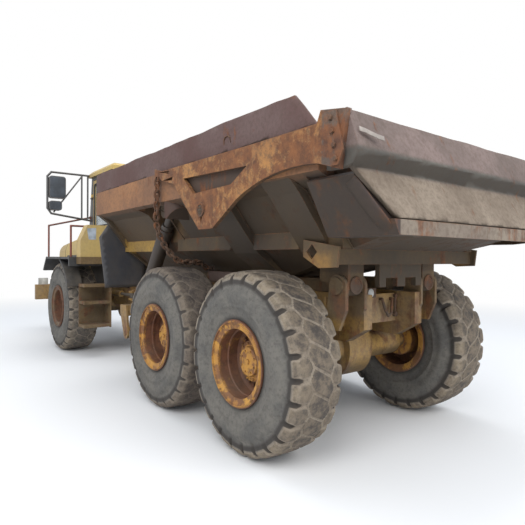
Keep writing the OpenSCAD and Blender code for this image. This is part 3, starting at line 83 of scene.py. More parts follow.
class Graph:
    """Shorthand for the nodes of a material or a shader group. A value is a number, a colour or a socket."""

    def __init__(self, tree):
        self.tree = tree

    def node(self, kind, **settings):
        n = self.tree.nodes.new("ShaderNode" + kind)
        for name, value in settings.items():
            setattr(n, name, value)
        return n

    def fill(self, socket, value):
        """Links an input to another node's output, or sets its number or colour."""
        if isinstance(value, bpy.types.NodeSocket):
            self.tree.links.new(value, socket)
        else:
            socket.default_value = value

    def feed(self, node, **inputs):
        """Fills the named inputs; a name's underscores stand for spaces."""
        for name, value in inputs.items():
            self.fill(node.inputs[name.replace("_", " ")], value)
        return node

    def math(self, operation, a, b=0.0, clamp=False):
        n = self.node("Math", operation=operation, use_clamp=clamp)
        self.fill(n.inputs[0], a)
        self.fill(n.inputs[1], b)
        return n.outputs[0]

    def plus(self, a, b, clamp=False):
        return self.math("ADD", a, b, clamp)

    def minus(self, a, b):
        return self.math("SUBTRACT", a, b)

    def times(self, a, b, clamp=False):
        return self.math("MULTIPLY", a, b, clamp)

    def inverse(self, mask):
        """1 where the mask is 0, and 0 where it is 1."""
        return self.minus(1.0, mask)

    def ramp(self, value, low, high, start=0.0, end=1.0):
        """From start at low to end at high, smooth between."""
        n = self.node("MapRange", interpolation_type="SMOOTHSTEP")
        self.feed(n, Value=value, From_Min=low, From_Max=high, To_Min=start, To_Max=end)
        return n.outputs["Result"]

    def noise(self, place, scale, detail=6.0, roughness=0.6, distortion=0.0):
        n = self.node("TexNoise")
        self.feed(n, Vector=place, Scale=scale, Detail=detail, Roughness=roughness, Distortion=distortion)
        return n.outputs["Fac"]

    def patches(self, place, scale, low, high, **texture):
        """Soft-edged patches: 0 where the noise is below low, 1 where it is above high."""
        return self.ramp(self.noise(place, scale, **texture), low, high)

    def mix(self, factor, a, b):
        n = self.node("Mix", data_type="RGBA")
        for socket, value in ((n.inputs[0], factor), (n.inputs[6], a), (n.inputs[7], b)):
            self.fill(socket, value)
        return n.outputs[2]

    def place(self):
        """Where a point lies, in metres in the truck's frame."""
        return self.node("TexCoord").outputs["Object"]

    def parts(self, vector):
        n = self.node("SeparateXYZ")
        self.fill(n.inputs[0], vector)
        return n.outputs

    def bump(self, height, strength, distance):
        n = self.feed(self.node("Bump"), Height=height, Strength=strength, Distance=distance)
        return n.outputs["Normal"]

    def use(self, tree, **values):
        """A shader group placed with its own values: its outputs."""
        return self.feed(self.node("Group", node_tree=tree), **values).outputs

    def given(self, name):
        """An input of the group that this graph makes."""
        return self.start.outputs[name]

    def give(self, **outputs):
        """Fills the outputs of the group that this graph makes."""
        self.feed(self.end, **outputs)

    def choose(self, share, first, second, output):
        """Feeds a mix of two shaders to the tree's output node."""
        chooser = self.node("MixShader")
        for socket, value in zip(chooser.inputs, (share, first.outputs[0], second.outputs[0])):
            self.fill(socket, value)
        self.fill(self.tree.nodes[output].inputs["Surface"], chooser.outputs[0])


def shader_group(name, inputs, outputs):
    """An empty group with float inputs (name, default) and float outputs."""
    tree = bpy.data.node_groups.new(name, "ShaderNodeTree")
    for label, default in inputs:
        socket = tree.interface.new_socket(name=label, in_out="INPUT", socket_type="NodeSocketFloat")
        socket.default_value = default
    for label in outputs:
        tree.interface.new_socket(name=label, in_out="OUTPUT", socket_type="NodeSocketFloat")
    g = Graph(tree)
    g.start = tree.nodes.new("NodeGroupInput")
    g.end = tree.nodes.new("NodeGroupOutput")
    return g


def rust_spread_group():
    """Rust that spreads in patches and runs down in streaks."""
    g = shader_group("rust_spread", [("Scale", 3.0), ("Amount", 0.4), ("Streaks", 0.5), ("Softness", 0.12)],
                     ["Mask", "Grain"])
    place = g.place()
    drawn_down = g.node("VectorMath", operation="MULTIPLY")
    g.fill(drawn_down.inputs[0], place)
    g.fill(drawn_down.inputs[1], (5.0, 5.0, 0.35))
    patches = g.noise(place, g.given("Scale"), detail=12.0, roughness=0.68, distortion=0.4)
    streaks = g.noise(drawn_down.outputs[0], g.given("Scale"), detail=8.0, roughness=0.6)
    share = g.given("Streaks")
    both = g.plus(g.times(patches, g.inverse(share)), g.times(streaks, share))
    level = g.minus(0.72, g.times(g.given("Amount"), 0.44))
    g.give(Mask=g.ramp(both, level, g.plus(level, g.given("Softness"))),
           Grain=g.noise(place, 90.0, detail=3.0, roughness=0.7))
    return g.tree


def edge_wear_group():
    """Bare metal along edges and corners, broken up by a noise."""
    g = shader_group("edge_wear", [("Width", 0.012), ("Amount", 0.6)], ["Mask"])
    rounded = g.feed(g.node("Bevel", samples=4), Radius=g.given("Width"))
    turn = g.node("VectorMath", operation="DOT_PRODUCT")
    g.fill(turn.inputs[0], rounded.outputs["Normal"])
    g.fill(turn.inputs[1], g.node("NewGeometry").outputs["Normal"])
    edges = g.ramp(g.inverse(turn.outputs["Value"]), 0.004, 0.09)
    broken = g.patches(g.place(), 14.0, 0.40, 0.62, detail=5.0, roughness=0.7)
    g.give(Mask=g.times(g.times(edges, broken), g.given("Amount"), clamp=True))
    return g.tree


def dust_film_group():
    """Dust and dried mud: most on faces that look up, and below the height Low."""
    g = shader_group("dust_film", [("Amount", 0.5), ("Low", 0.6), ("High", 1.8)], ["Mask"])
    coords = g.node("TexCoord").outputs
    up = g.times(g.ramp(g.parts(coords["Normal"])["Z"], 0.15, 0.9), 0.7)
    height = g.ramp(g.parts(coords["Object"])["Z"], g.given("Low"), g.given("High"), 1.0, 0.25)
    clouds = g.patches(coords["Object"], 2.2, 0.30, 0.72, detail=8.0, roughness=0.65)
    g.give(Mask=g.times(g.times(g.plus(up, height), clouds), g.given("Amount"), clamp=True))
    return g.tree


def shade_and_grime_below_group():
    """Painted shade, with grime, on faces that look down: darker the more a face looks down, lighter in patches."""
    g = shader_group("shade_and_grime_below", [("Amount", 0.8)], ["Mask"])
    coords = g.node("TexCoord").outputs
    down = g.ramp(g.times(g.parts(coords["Normal"])["Z"], -1.0), 0.05, 0.60)
    patches = g.patches(coords["Object"], 2.6, 0.18, 0.62, detail=10.0, roughness=0.66)
    depth = g.inverse(g.times(patches, 0.30))
    g.give(Mask=g.times(g.times(down, depth), g.given("Amount"), clamp=True))
    return g.tree


RUST_SPREAD = rust_spread_group()
EDGE_WEAR = edge_wear_group()
DUST_FILM = dust_film_group()
SHADE_AND_GRIME_BELOW = shade_and_grime_below_group()


def new_finish(name):
    """A material and the graph of its nodes."""
    material = bpy.data.materials.new(name)
    material.use_nodes = True
    g = Graph(material.node_tree)
    g.shader = material.node_tree.nodes["Principled BSDF"]
    return material, g


def colour(r, g, b):
    return (r, g, b, 1.0)


DEEP_RUST = colour(0.085, 0.034, 0.018)
RUST = colour(0.21, 0.078, 0.028)
DRY_MUD = colour(0.27, 0.22, 0.16)
# Colour of the painted shade, with grime, on faces that look down
GRIME_AND_SHADE = colour(0.034, 0.023, 0.013)
SPECKS = colour(0.065, 0.040, 0.026)
WHITE = colour(1.0, 1.0, 1.0)

# Finishes of painted steel. Columns: name, paint, its faded shade, rust scale, rust amount, streak share,
# share of fine dark mottling, edge wear, dust amount, roughness
PAINTS = [
    ("yellow_rail", colour(0.40, 0.185, 0.050), colour(0.25, 0.11, 0.038), 6.0, 0.66, 0.15, 0.70, 0.8, 0.08, 0.66),
    ("yellow_frame", colour(0.44, 0.25, 0.05), colour(0.25, 0.145, 0.045), 3.0, 0.52, 0.35, 0.45, 0.7, 0.45, 0.70),
    ("yellow_cab", colour(0.54, 0.375, 0.10), colour(0.41, 0.29, 0.12), 2.2, 0.30, 0.60, 0.12, 0.7, 0.26, 0.50),
    ("olive_body", colour(0.105, 0.062, 0.026), colour(0.056, 0.038, 0.023), 1.8, 0.46, 0.40, 0.40, 0.6, 0.10, 0.74),
    ("rib_paint", colour(0.140, 0.088, 0.036), colour(0.070, 0.050, 0.030), 2.0, 0.42, 0.30, 0.40, 0.8, 0.10, 0.72),
    ("hoist_paint", colour(0.050, 0.036, 0.028), colour(0.030, 0.024, 0.022), 4.0, 0.35, 0.40, 0.30, 0.6, 0.15, 0.55),
    ("deck_yellow", colour(0.56, 0.40, 0.14), colour(0.44, 0.32, 0.15), 2.8, 0.25, 0.40, 0.12, 0.6, 0.30, 0.52),
    ("step_brown", colour(0.160, 0.100, 0.036), colour(0.060, 0.044, 0.028), 5.0, 0.50, 0.20, 0.50, 0.7, 0.35, 0.75),
    ("dark_guard", colour(0.036, 0.040, 0.052), colour(0.055, 0.055, 0.058), 3.0, 0.18, 0.30, 0.20, 0.3, 0.40, 0.55),
    ("dark_cab", colour(0.045, 0.048, 0.052), colour(0.075, 0.075, 0.074), 3.0, 0.20, 0.40, 0.20, 0.5, 0.30, 0.50),
    ("red_rail", colour(0.23, 0.052, 0.034), colour(0.15, 0.05, 0.035), 5.0, 0.42, 0.30, 0.35, 0.6, 0.30, 0.60),
    ("maroon_board", colour(0.092, 0.043, 0.038), colour(0.125, 0.078, 0.072), 2.4, 0.34, 0.3, 0.45, 0.3, 0.08, 0.82),
    ("mauve_gate", colour(0.205, 0.148, 0.132), colour(0.125, 0.092, 0.080), 2.6, 0.36, 0.55, 0.40, 0.5, 0.12, 0.76),
    ("rusty_iron", colour(0.120, 0.062, 0.035), colour(0.065, 0.040, 0.028), 6.0, 0.55, 0.20, 0.35, 0.4, 0.30, 0.85),
    ("dark_iron", colour(0.050, 0.045, 0.040), colour(0.030, 0.028, 0.026), 5.0, 0.30, 0.20, 0.30, 0.3, 0.35, 0.70),
    ("rod_steel", colour(0.110, 0.095, 0.080), colour(0.060, 0.050, 0.042), 6.0, 0.35, 0.50, 0.20, 0.2, 0.20, 0.45),
]

# Parts of a finish with other paint, and parts where the paint is darkened as painted shadow. Columns: X range,
# range of the distance from the middle plane, Z range, softness of the border, paint, its faded shade
EVERYWHERE = (-9.0, 9.0)
ZONES = {
    # The rails, the flank ahead of the middle wheels, the rail behind the arm plates in painted shadow, the cheeks in
    # dark paint and painted shadow under the arms' ends, the lip, the floor's bearers
    "olive_body": [
        (EVERYWHERE, (1.235, 2.0), (2.30, 3.0), 0.012, colour(0.33, 0.150, 0.060), colour(0.19, 0.090, 0.045)),
        ((-1.75, 0.3), (0.80, 1.24), (1.70, 2.30), 0.06, colour(0.185, 0.105, 0.036), colour(0.095, 0.058, 0.028)),
        # Painted shadow of the arm plates on the rail around the tailgate's pivots
        ((-3.95, -2.62), (1.30, 1.5), (2.20, 3.0), 0.02, colour(0.070, 0.040, 0.026), colour(0.042, 0.028, 0.020)),
        # Dark paint of the cheeks, with painted shadow under the arms' ends
        ((-5.2, -4.40), (0.9, 1.5), (1.86, 2.32), 0.02, colour(0.050, 0.030, 0.025), colour(0.034, 0.023, 0.020)),
        ((-5.2, -4.98), (0.0, 1.11), (1.6, 2.02), 0.01, colour(0.25, 0.205, 0.155), colour(0.17, 0.13, 0.10)),
        ((-4.40, -1.0), (0.0, 1.26), (1.40, 1.60), 0.02, colour(0.17, 0.105, 0.042), colour(0.10, 0.065, 0.034)),
    ],
    # The ribs behind in painted shadow of the arms and rails, the rearmost rib and its rust, the ledge ahead, the rib
    # behind the chain
    "rib_paint": [
        # Painted shadow of the arms and rails on the ribs behind
        ((-4.60, -2.60), EVERYWHERE, (1.70, 2.40), 0.05, colour(0.085, 0.056, 0.030), colour(0.048, 0.034, 0.022)),
        ((-4.60, -3.80), EVERYWHERE, (1.40, 1.90), 0.02, colour(0.115, 0.072, 0.030), colour(0.055, 0.040, 0.024)),
        ((-4.34, -4.02), (0.95, 1.10), (1.60, 1.76), 0.05, colour(0.25, 0.135, 0.035), colour(0.13, 0.075, 0.028)),
        ((-1.30, 0.2), (0.80, 0.99), (1.78, 2.0), 0.01, colour(0.40, 0.24, 0.05), colour(0.24, 0.15, 0.045)),
        ((-2.45, -2.0), EVERYWHERE, (2.10, 2.36), 0.01, colour(0.080, 0.034, 0.024), colour(0.050, 0.028, 0.020)),
    ],
    # The tailgate's fold and its lower half
    "mauve_gate": [
        (EVERYWHERE, EVERYWHERE, (2.30, 2.43), 0.02, colour(0.095, 0.090, 0.075), colour(0.060, 0.055, 0.048)),
        (EVERYWHERE, EVERYWHERE, (1.90, 2.30), 0.02, colour(0.270, 0.215, 0.160), colour(0.160, 0.120, 0.085)),
    ],
    # The rails between the rear wheels, the hinge lugs, the tail member
    "yellow_frame": [
        ((-3.10, -1.90), (0.55, 0.75), (1.42, 1.70), 0.01, colour(0.150, 0.098, 0.085), colour(0.095, 0.062, 0.055)),
        ((-4.25, -3.97), (0.38, 0.80), (1.20, 1.62), 0.04, colour(0.23, 0.150, 0.060), colour(0.13, 0.085, 0.042)),
        ((-4.30, -3.90), (0.0, 0.40), (1.05, 1.36), 0.04, colour(0.42, 0.25, 0.075), colour(0.24, 0.15, 0.065)),
    ],
    # The barrels' feet
    "hoist_paint": [
        ((-0.72, 0.0), EVERYWHERE, (0.5, 1.30), 0.05, colour(0.44, 0.21, 0.05), colour(0.25, 0.12, 0.04)),
    ],
    # The wear plates at the tailgate's ends
    "yellow_rail": [
        ((-4.90, -4.66), EVERYWHERE, (2.28, 2.80), 0.012, colour(0.13, 0.085, 0.06), colour(0.075, 0.055, 0.045)),
    ],
}


def zone_mask(g, place, x_range, off_range, z_range, soft):
    """1 inside a box given along X, by the distance from the middle plane, and along Z."""
    parts = g.parts(place)
    mask = 1.0
    for value, (low, high) in ((parts["X"], x_range), (g.math("ABSOLUTE", parts["Y"]), off_range),
                               (parts["Z"], z_range)):
        if low > EVERYWHERE[0]:
            mask = g.times(g.ramp(value, low - soft, low + soft), mask)
        if high < EVERYWHERE[1]:
            mask = g.times(g.inverse(g.ramp(value, high - soft, high + soft)), mask)
    return mask


def painted_steel(name, paint, faded, rust_scale, rust_amount, streaks, mottle, wear, dust, roughness):
    """Weathered paint: faded, with zones of other paint and of painted shadow, dark specks, rust, worn edges, dust,
    and painted shade with grime on faces that look down.
    """
    material, g = new_finish(name)
    place = g.place()
    fade = g.patches(place, 1.3, 0.34, 0.66, detail=8.0, roughness=0.62)
    body = g.mix(fade, paint, faded)
    # Some zones are painted shadow: the paint is darkened where other parts shade it
    for x_range, off_range, z_range, soft, zone_paint_and_shade, zone_faded_and_shade in ZONES.get(name, []):
        mask = zone_mask(g, place, x_range, off_range, z_range, soft)
        body = g.mix(mask, body, g.mix(fade, zone_paint_and_shade, zone_faded_and_shade))
    specks = g.patches(place, 26.0, 0.42, 0.64, detail=8.0, roughness=0.74)
    body = g.mix(g.times(specks, mottle), body, SPECKS)
    rust = g.use(RUST_SPREAD, Scale=rust_scale, Amount=rust_amount, Streaks=streaks, Softness=0.10)
    rust_tone = g.mix(g.patches(place, 9.0, 0.35, 0.65, detail=8.0, roughness=0.7), DEEP_RUST, RUST)
    body = g.mix(g.times(rust["Mask"], 0.88), body, rust_tone)
    body = g.mix(g.use(EDGE_WEAR, Width=0.010, Amount=wear)["Mask"], body, RUST)
    body = g.mix(g.use(DUST_FILM, Amount=dust, Low=0.5, High=1.9)["Mask"], body, DRY_MUD)
    # Painted shade, with grime, on faces that look down
    body = g.mix(g.use(SHADE_AND_GRIME_BELOW, Amount=0.85)["Mask"], body, GRIME_AND_SHADE)
    grain = g.times(rust["Grain"], g.plus(0.15, rust["Mask"]))
    height = g.plus(g.times(rust["Mask"], 0.6), grain)
    g.feed(g.shader, Base_Color=body, Roughness=g.plus(roughness, g.times(rust["Mask"], 0.20), clamp=True),
           Normal=g.bump(height, 0.35, 0.004))
    return material


FINISH = {row[0]: painted_steel(*row) for row in PAINTS}


# Wheels: the axles' height and places, and the distance of a tyre's middle from the truck's middle plane
WHEEL_R = 0.809
WHEEL_Y = 1.108
AXLE_X = {"front": 2.285, "middle": -1.890, "rear": -3.560}
SIDES = {"left": 1.0, "right": -1.0}
# The tread's crown: half its width, the radius at its edges, and how far it bulges in the middle
CROWN_HALF = 0.200
CROWN_EDGE_R = 0.798
CROWN_BULGE = 0.011
# Past the crown the plain tread falls off with the square of the distance
SHOULDER_FALL = 16.5


def wheel_place_group():
    """Where a place is on its wheel: radius, distance from the wheel's middle plane, depth below the plain tread."""
    g = shader_group("wheel_place", [("Axle X", 0.0)], ["Radius", "Off", "Depth", "Tread"])
    parts = g.parts(g.place())
    along = g.minus(parts["X"], g.given("Axle X"))
    above = g.minus(parts["Z"], WHEEL_R)
    radius = g.math("SQRT", g.plus(g.times(along, along), g.times(above, above)))
    off = g.math("ABSOLUTE", g.minus(g.math("ABSOLUTE", parts["Y"]), WHEEL_Y))
    inside = g.math("MAXIMUM", g.minus(CROWN_HALF, off), 0.0)
    bulge = g.times(CROWN_BULGE, g.math("SINE", g.times(inside, math.pi / (2.0 * CROWN_HALF))))
    past = g.math("MAXIMUM", g.minus(off, CROWN_HALF), 0.0)
    plain = g.minus(g.plus(CROWN_EDGE_R, bulge), g.times(SHOULDER_FALL, g.times(past, past)))
    g.give(Radius=radius, Off=off, Depth=g.minus(plain, radius), Tread=g.ramp(radius, 0.715, 0.755))
    return g.tree


WHEEL_PLACE = wheel_place_group()

# Tread of each axle's tyres: colour of the blocks, of the mud on them, and share of mud in the grooves
TREADS = {
    "front": (colour(0.075, 0.066, 0.060), colour(0.170, 0.142, 0.112), 0.7),
    "middle": (colour(0.062, 0.050, 0.045), colour(0.150, 0.120, 0.095), 0.40),
    "rear": (colour(0.060, 0.051, 0.045), colour(0.190, 0.150, 0.108), 0.9),
}


def mud_rubber(name, axle):
    """Tyre rubber: pale dried mud in the shallow grooves, painted shade in the shoulders' deep notches, blocks rubbed
    dark.
    """
    material, g = new_finish(name)
    block_tone, mud_tone, fill = TREADS[axle]
    place = g.place()
    spot = g.use(WHEEL_PLACE, Axle_X=AXLE_X[axle])
    coat = g.patches(place, 3.5, 0.34, 0.62, detail=10.0, roughness=0.68)
    wall = g.mix(coat, colour(0.100, 0.096, 0.088), colour(0.160, 0.148, 0.128))
    bead = g.inverse(g.ramp(spot["Radius"], 0.385, 0.430))
    wall = g.mix(g.times(bead, 0.75), wall, colour(0.050, 0.045, 0.040))
    scuffs = g.patches(place, 9.0, 0.36, 0.60, detail=10.0, roughness=0.76)
    block = g.mix(scuffs, block_tone, mud_tone)
    shoulder = g.ramp(spot["Off"], 0.13, 0.22)
    block = g.mix(g.times(g.times(shoulder, coat), 0.8 * fill), block, colour(0.30, 0.24, 0.165))
    body = g.mix(spot["Tread"], wall, block)
    shallow = g.times(g.ramp(spot["Depth"], 0.0035, 0.0085), spot["Tread"])
    groove_mud = g.mix(coat, colour(0.23, 0.185, 0.138), colour(0.31, 0.26, 0.20))
    body = g.mix(g.times(shallow, fill), body, groove_mud)
    # Painted shade: the deep notches of the shoulders are darkened
    notch_shade = g.times(g.ramp(spot["Depth"], 0.019, 0.028), g.ramp(spot["Radius"], 0.665, 0.70))
    body = g.mix(g.times(notch_shade, 0.9), body, colour(0.040, 0.034, 0.030))
    rubbed = g.patches(place, 30.0, 0.46, 0.64, detail=8.0, roughness=0.75)
    body = g.mix(g.times(rubbed, 0.45), body, colour(0.060, 0.052, 0.047))
    height = g.plus(g.noise(place, 48.0, detail=7.0, roughness=0.75), g.times(coat, 0.5))
    g.feed(g.shader, Base_Color=body, Roughness=0.94, Normal=g.bump(height, 0.60, 0.008))
    return material


# Rims of each axle: paint and its faded shade
RIMS = {
    "front": (colour(0.150, 0.085, 0.036), colour(0.085, 0.055, 0.034)),
    "middle": (colour(0.54, 0.27, 0.040), colour(0.36, 0.165, 0.032)),
    "rear": (colour(0.54, 0.27, 0.040), colour(0.38, 0.170, 0.032)),
}


def rusty_rim(name, axle):
    """Painted rim: rust along its flange, a rust-brown dish, patches of paint left on the hub's cover."""
    material, g = new_finish(name)
    place = g.place()
    spot = g.use(WHEEL_PLACE, Axle_X=AXLE_X[axle])
    fade = g.patches(place, 5.0, 0.34, 0.64, detail=8.0, roughness=0.65)
    body = g.mix(fade, *RIMS[axle])
    tones = g.patches(place, 14.0, 0.35, 0.65, detail=8.0, roughness=0.7)
    rust_tone = g.mix(tones, DEEP_RUST, colour(0.17, 0.062, 0.028))
    dish = g.times(g.ramp(spot["Radius"], 0.176, 0.196), g.inverse(g.ramp(spot["Off"], 0.215, 0.245)))
    breaks = g.patches(place, 7.0, 0.30, 0.46, detail=10.0, roughness=0.72)
    body = g.mix(g.times(dish, breaks), body, rust_tone)
    rust = g.use(RUST_SPREAD, Scale=5.5, Amount=0.58, Streaks=0.15, Softness=0.08)
    body = g.mix(g.times(rust["Mask"], 0.85), body, rust_tone)
    flange = g.times(g.ramp(spot["Radius"], 0.366, 0.376), g.ramp(spot["Off"], 0.22, 0.25))
    body = g.mix(flange, body, rust_tone)
    body = g.mix(g.use(EDGE_WEAR, Width=0.008, Amount=0.9)["Mask"], body, DEEP_RUST)
    body = g.mix(g.use(DUST_FILM, Amount=0.16, Low=0.3, High=1.2)["Mask"], body, DRY_MUD)
    g.feed(g.shader, Base_Color=body, Roughness=0.68, Normal=g.bump(g.plus(rust["Mask"], rust["Grain"]), 0.35, 0.004))
    return material


def dusty_plastic(name, base, dust_amount):
    """Plastic, rubber or a small plate of one colour, with paler patches and dust."""
    material, g = new_finish(name)
    place = g.place()
    paler = colour(*(1.9 * c for c in base[:3]))
    body = g.mix(g.patches(place, 6.0, 0.35, 0.7, detail=8.0), base, paler)
    body = g.mix(g.use(DUST_FILM, Amount=dust_amount, Low=0.5, High=2.2)["Mask"], body, DRY_MUD)
    g.feed(g.shader, Base_Color=body, Roughness=0.62, Normal=g.bump(g.noise(place, 120.0, detail=2.0), 0.15, 0.002))
    return material


def dusty_glass(name):
    """Window glass under patches of dirt that hide more and shine less."""
    material, g = new_finish(name)
    dirt = g.patches(g.place(), 3.0, 0.30, 0.80, detail=8.0, roughness=0.7)
    g.feed(g.shader, Base_Color=g.mix(dirt, colour(0.62, 0.70, 0.72), colour(0.46, 0.43, 0.38)),
           Roughness=g.times(dirt, 0.35), Alpha=g.plus(0.30, g.times(dirt, 0.30)), IOR=1.5)
    return material


for axle in AXLE_X:
    FINISH["mud_rubber_" + axle] = mud_rubber("mud_rubber_" + axle, axle)
    FINISH["rusty_rim_" + axle] = rusty_rim("rusty_rim_" + axle, axle)
FINISH["window_glass"] = dusty_glass("window_glass")
# Columns: name, colour, dust amount
# The mirror panes' flat dark blue is a painted reflection
for row in [("black_plastic", colour(0.022, 0.023, 0.025), 0.35), ("mirror_pane_dark_reflection", colour(0.026, 0.032, 0.040), 0.12),
            ("bare_strip", colour(0.19, 0.165, 0.145), 0.20), ("pale_plate", colour(0.26, 0.29, 0.32), 0.25),
            ("lamp_lens", colour(0.42, 0.42, 0.40), 0.25)]:
    FINISH[row[0]] = dusty_plastic(*row)

# Finish of each node of the frame
NODE_FINISH = {
    "front_frame": "yellow_frame", "front_axle": "yellow_frame", "engine_block": "dark_iron", "hood": "yellow_cab",
    "grille": "dark_cab", "cab_shell": "dark_cab", "cab_roof": "yellow_cab", "cab_door": "yellow_cab",
    "cab_interior": "black_plastic", "cab_glass": "window_glass", "door_glass": "window_glass",
    "front_fenders": "black_plastic", "cab_steps": "step_brown", "side_boxes": "deck_yellow",
    "fender_rails": "red_rail", "mirrors": "dark_cab", "headlamps": "lamp_lens", "exhaust": "rusty_iron",
    "hitch_yoke": "yellow_frame", "rear_frame": "yellow_frame", "rear_axles": "yellow_frame",
    "bogie_beams": "rusty_iron", "rear_fittings": "rusty_iron", "body_shell": "olive_body",
    "body_ribs": "rib_paint", "side_boards": "maroon_board", "guard_plates": "dark_guard",
    "tailgate_panel": "mauve_gate", "tailgate_arms": "yellow_rail", "tailgate_chains": "rusty_iron",
    "slack_chains": "rusty_iron", "hoist_barrels": "hoist_paint", "hoist_stages": "rod_steel",
    "hoist_rods": "rod_steel", "steer_barrel_left": "yellow_frame", "steer_barrel_right": "yellow_frame",
    "steer_rod_left": "rod_steel", "steer_rod_right": "rod_steel",
}
for axle in AXLE_X:
    for side in SIDES:
        NODE_FINISH[f"tyre_{axle}_{side}"] = "mud_rubber_" + axle
        NODE_FINISH[f"rim_{axle}_{side}"] = "rusty_rim_" + axle

for node, finish in NODE_FINISH.items():
    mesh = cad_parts[node].data
    mesh.materials.clear()
    mesh.materials.append(FINISH[finish])


# Pieces made from points

def circle(count, start=0.0):
    """Cosine and sine of equal steps around a circle."""
    turns = [start + 2.0 * math.pi * k / count for k in range(count)]
    return [(math.cos(t), math.sin(t)) for t in turns]


def add_piece(name, points, faces, finish, body, sharp=35.0):
    """A piece from points and faces; edges sharper than so many degrees stay sharp."""
    mesh = bpy.data.meshes.new(name)
    mesh.from_pydata([tuple(p) for p in points], [], faces)
    return finish_piece(name, mesh, finish, body, sharp)


def finish_piece(name, mesh, finish, body, sharp=35.0):
    shape = bmesh.new()
    shape.from_mesh(mesh)
    bmesh.ops.recalc_face_normals(shape, faces=shape.faces)
    shape.to_mesh(mesh)
    shape.free()
    mesh.shade_smooth()
    mesh.set_sharp_from_angle(angle=math.radians(sharp))
    mesh.materials.clear()
    mesh.materials.append(FINISH[finish])
    piece = bpy.data.objects.new(name, mesh)
    scene.collection.objects.link(piece)
    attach(piece, body)
    return piece


def smooth_step(value, low, high):
    t = min(1.0, max(0.0, (value - low) / (high - low)))
    return t * t * (3.0 - 2.0 * t)


class Shape:
    """Points and faces that grow solid by solid."""

    def __init__(self):
        self.points = []
        self.faces = []

    def rings(self, rings, closed=False):
        """Joins rings of equally many points. The last ring joins the first where closed, and else both get a cap."""
        start = len(self.points)
        count = len(rings[0])
        for ring in rings:
            self.points.extend(ring)
        for r in range(len(rings) if closed else len(rings) - 1):
            a = start + r * count
            b = start + (r + 1) % len(rings) * count
            for i in range(count):
                j = (i + 1) % count
                self.faces.append((a + i, a + j, b + j, b + i))
        if not closed:
            for a in (start, start + (len(rings) - 1) * count):
                self.faces.append(tuple(range(a, a + count)))

    def slab(self, axis, outline, levels):
        """An outline in the two other coordinates, carried along an axis from level to level."""
        order = {"x": (2, 0, 1), "y": (0, 2, 1), "z": (0, 1, 2)}[axis]
        self.rings([[Vector([(u, v, level)[k] for k in order]) for u, v in outline] for level in levels])

    def tube(self, path, radius, sides=8, closed=False, lumps=0.0):
        """A round bar along a path; lumps varies its radius like a weld bead."""
        path = [Vector(p) for p in path]
        rings = []
        for i, p in enumerate(path):
            before = path[i - 1] if i or closed else path[0]
            after = path[(i + 1) % len(path)] if i < len(path) - 1 or closed else path[-1]
            ahead = (after - before).normalized()
            guide = Vector((0.13, 0.31, 0.94)) if abs(ahead.z) < 0.9 else Vector((0.9, 0.3, 0.1))
            side = ahead.cross(guide).normalized()
            up = ahead.cross(side)
            r = radius * (1.0 + lumps * (1 if i % 2 else -1))
            rings.append([p + r * (c * side + s * up) for c, s in circle(sides)])
        self.rings(rings, closed)

    def bolt(self, place, axis, flats, height, turn=0.0):
        """A hexagon head with a chamfered top, let a little into the face it stands on."""
        axis = Vector(axis)
        side = axis.orthogonal().normalized()
        up = axis.cross(side)
        r = flats / math.sqrt(3.0)
        self.rings([[Vector(place) + axis * (level * height) + scale * r * (c * side + s * up)
                     for c, s in circle(6, turn)] for level, scale in ((-0.15, 1.0), (0.75, 1.0), (1.0, 0.80))])

    def lathe(self, profile, centre, out, steps):
        """Turns a closed profile of radius and outward distance about an axle along Y."""
        self.rings([[Vector((centre[0] + r * c, centre[1] + out * y, centre[2] + r * s)) for r, y in profile]
                    for c, s in circle(steps)], closed=True)

    def button(self, profile, y, z, steps):
        """Turns a profile of radius and X about a line along X: a low round boss."""
        self.rings([[Vector((x, y + r * c, z + r * s)) for c, s in circle(steps)] for r, x in profile])

    def piece(self, name, finish, body, slot, sharp=35.0):
        return add_piece(name, self.points, self.faces, finish, body, sharp)


# Tyres

LUG_COUNT = 26
STEPS_PER_LUG = 20
# Half of the section as radius and distance from the middle plane, from the bead to the crown
TYRE_SECTION = [(0.3303, 0.225), (0.352, 0.236), (0.385, 0.246), (0.44, 0.262), (0.490, 0.274), (0.496, 0.281),
                (0.512, 0.283), (0.520, 0.278), (0.560, 0.289), (0.590, 0.294), (0.612, 0.286), (0.635, 0.275),
                (0.645, 0.266), (0.655, 0.263), (0.668, 0.257), (0.700, 0.256), (0.722, 0.256), (0.740, 0.2555),
                (0.755, 0.251), (0.770, 0.240), (0.783, 0.227), (0.794, 0.212), (CROWN_EDGE_R, CROWN_HALF)]
TYRE_SECTION += [(CROWN_EDGE_R + CROWN_BULGE * math.sin((CROWN_HALF - y) / CROWN_HALF * math.pi / 2.0), y)
                 for y in [0.188 - 0.012 * k for k in range(16)]]

# Grooves: depths and half widths in metres
LUG_PITCH = 2.0 * math.pi * 0.80 / LUG_COUNT
CUT_DEPTH, CUT_DEEPER_OUT = 0.016, 0.019
CUT_HALF, CUT_WIDER_OUT, CUT_EDGE = 0.015, 0.006, 0.006
ZIGZAG_OFF, ZIGZAG_SWING, ZIGZAG_DEPTH = 0.112, 0.026, 0.013
SLANT_REACH, SLANT_DEPTH = 0.088, 0.012
NARROW_HALF, NARROW_EDGE = 0.009, 0.005
ROUNDING_DEPTH = 0.007
UNEVENNESS = 0.0016


def off_whole(value):
    """Distance to the nearest whole number."""
    return abs((value + 0.5) % 1.0 - 0.5)


def saw(value):
    """1 at whole numbers, -1 half way between."""
    return abs(value % 1.0 - 0.5) * 4.0 - 1.0


def groove(distance, half_width, edge):
    return 1.0 - smooth_step(distance, half_width - edge, half_width + edge)


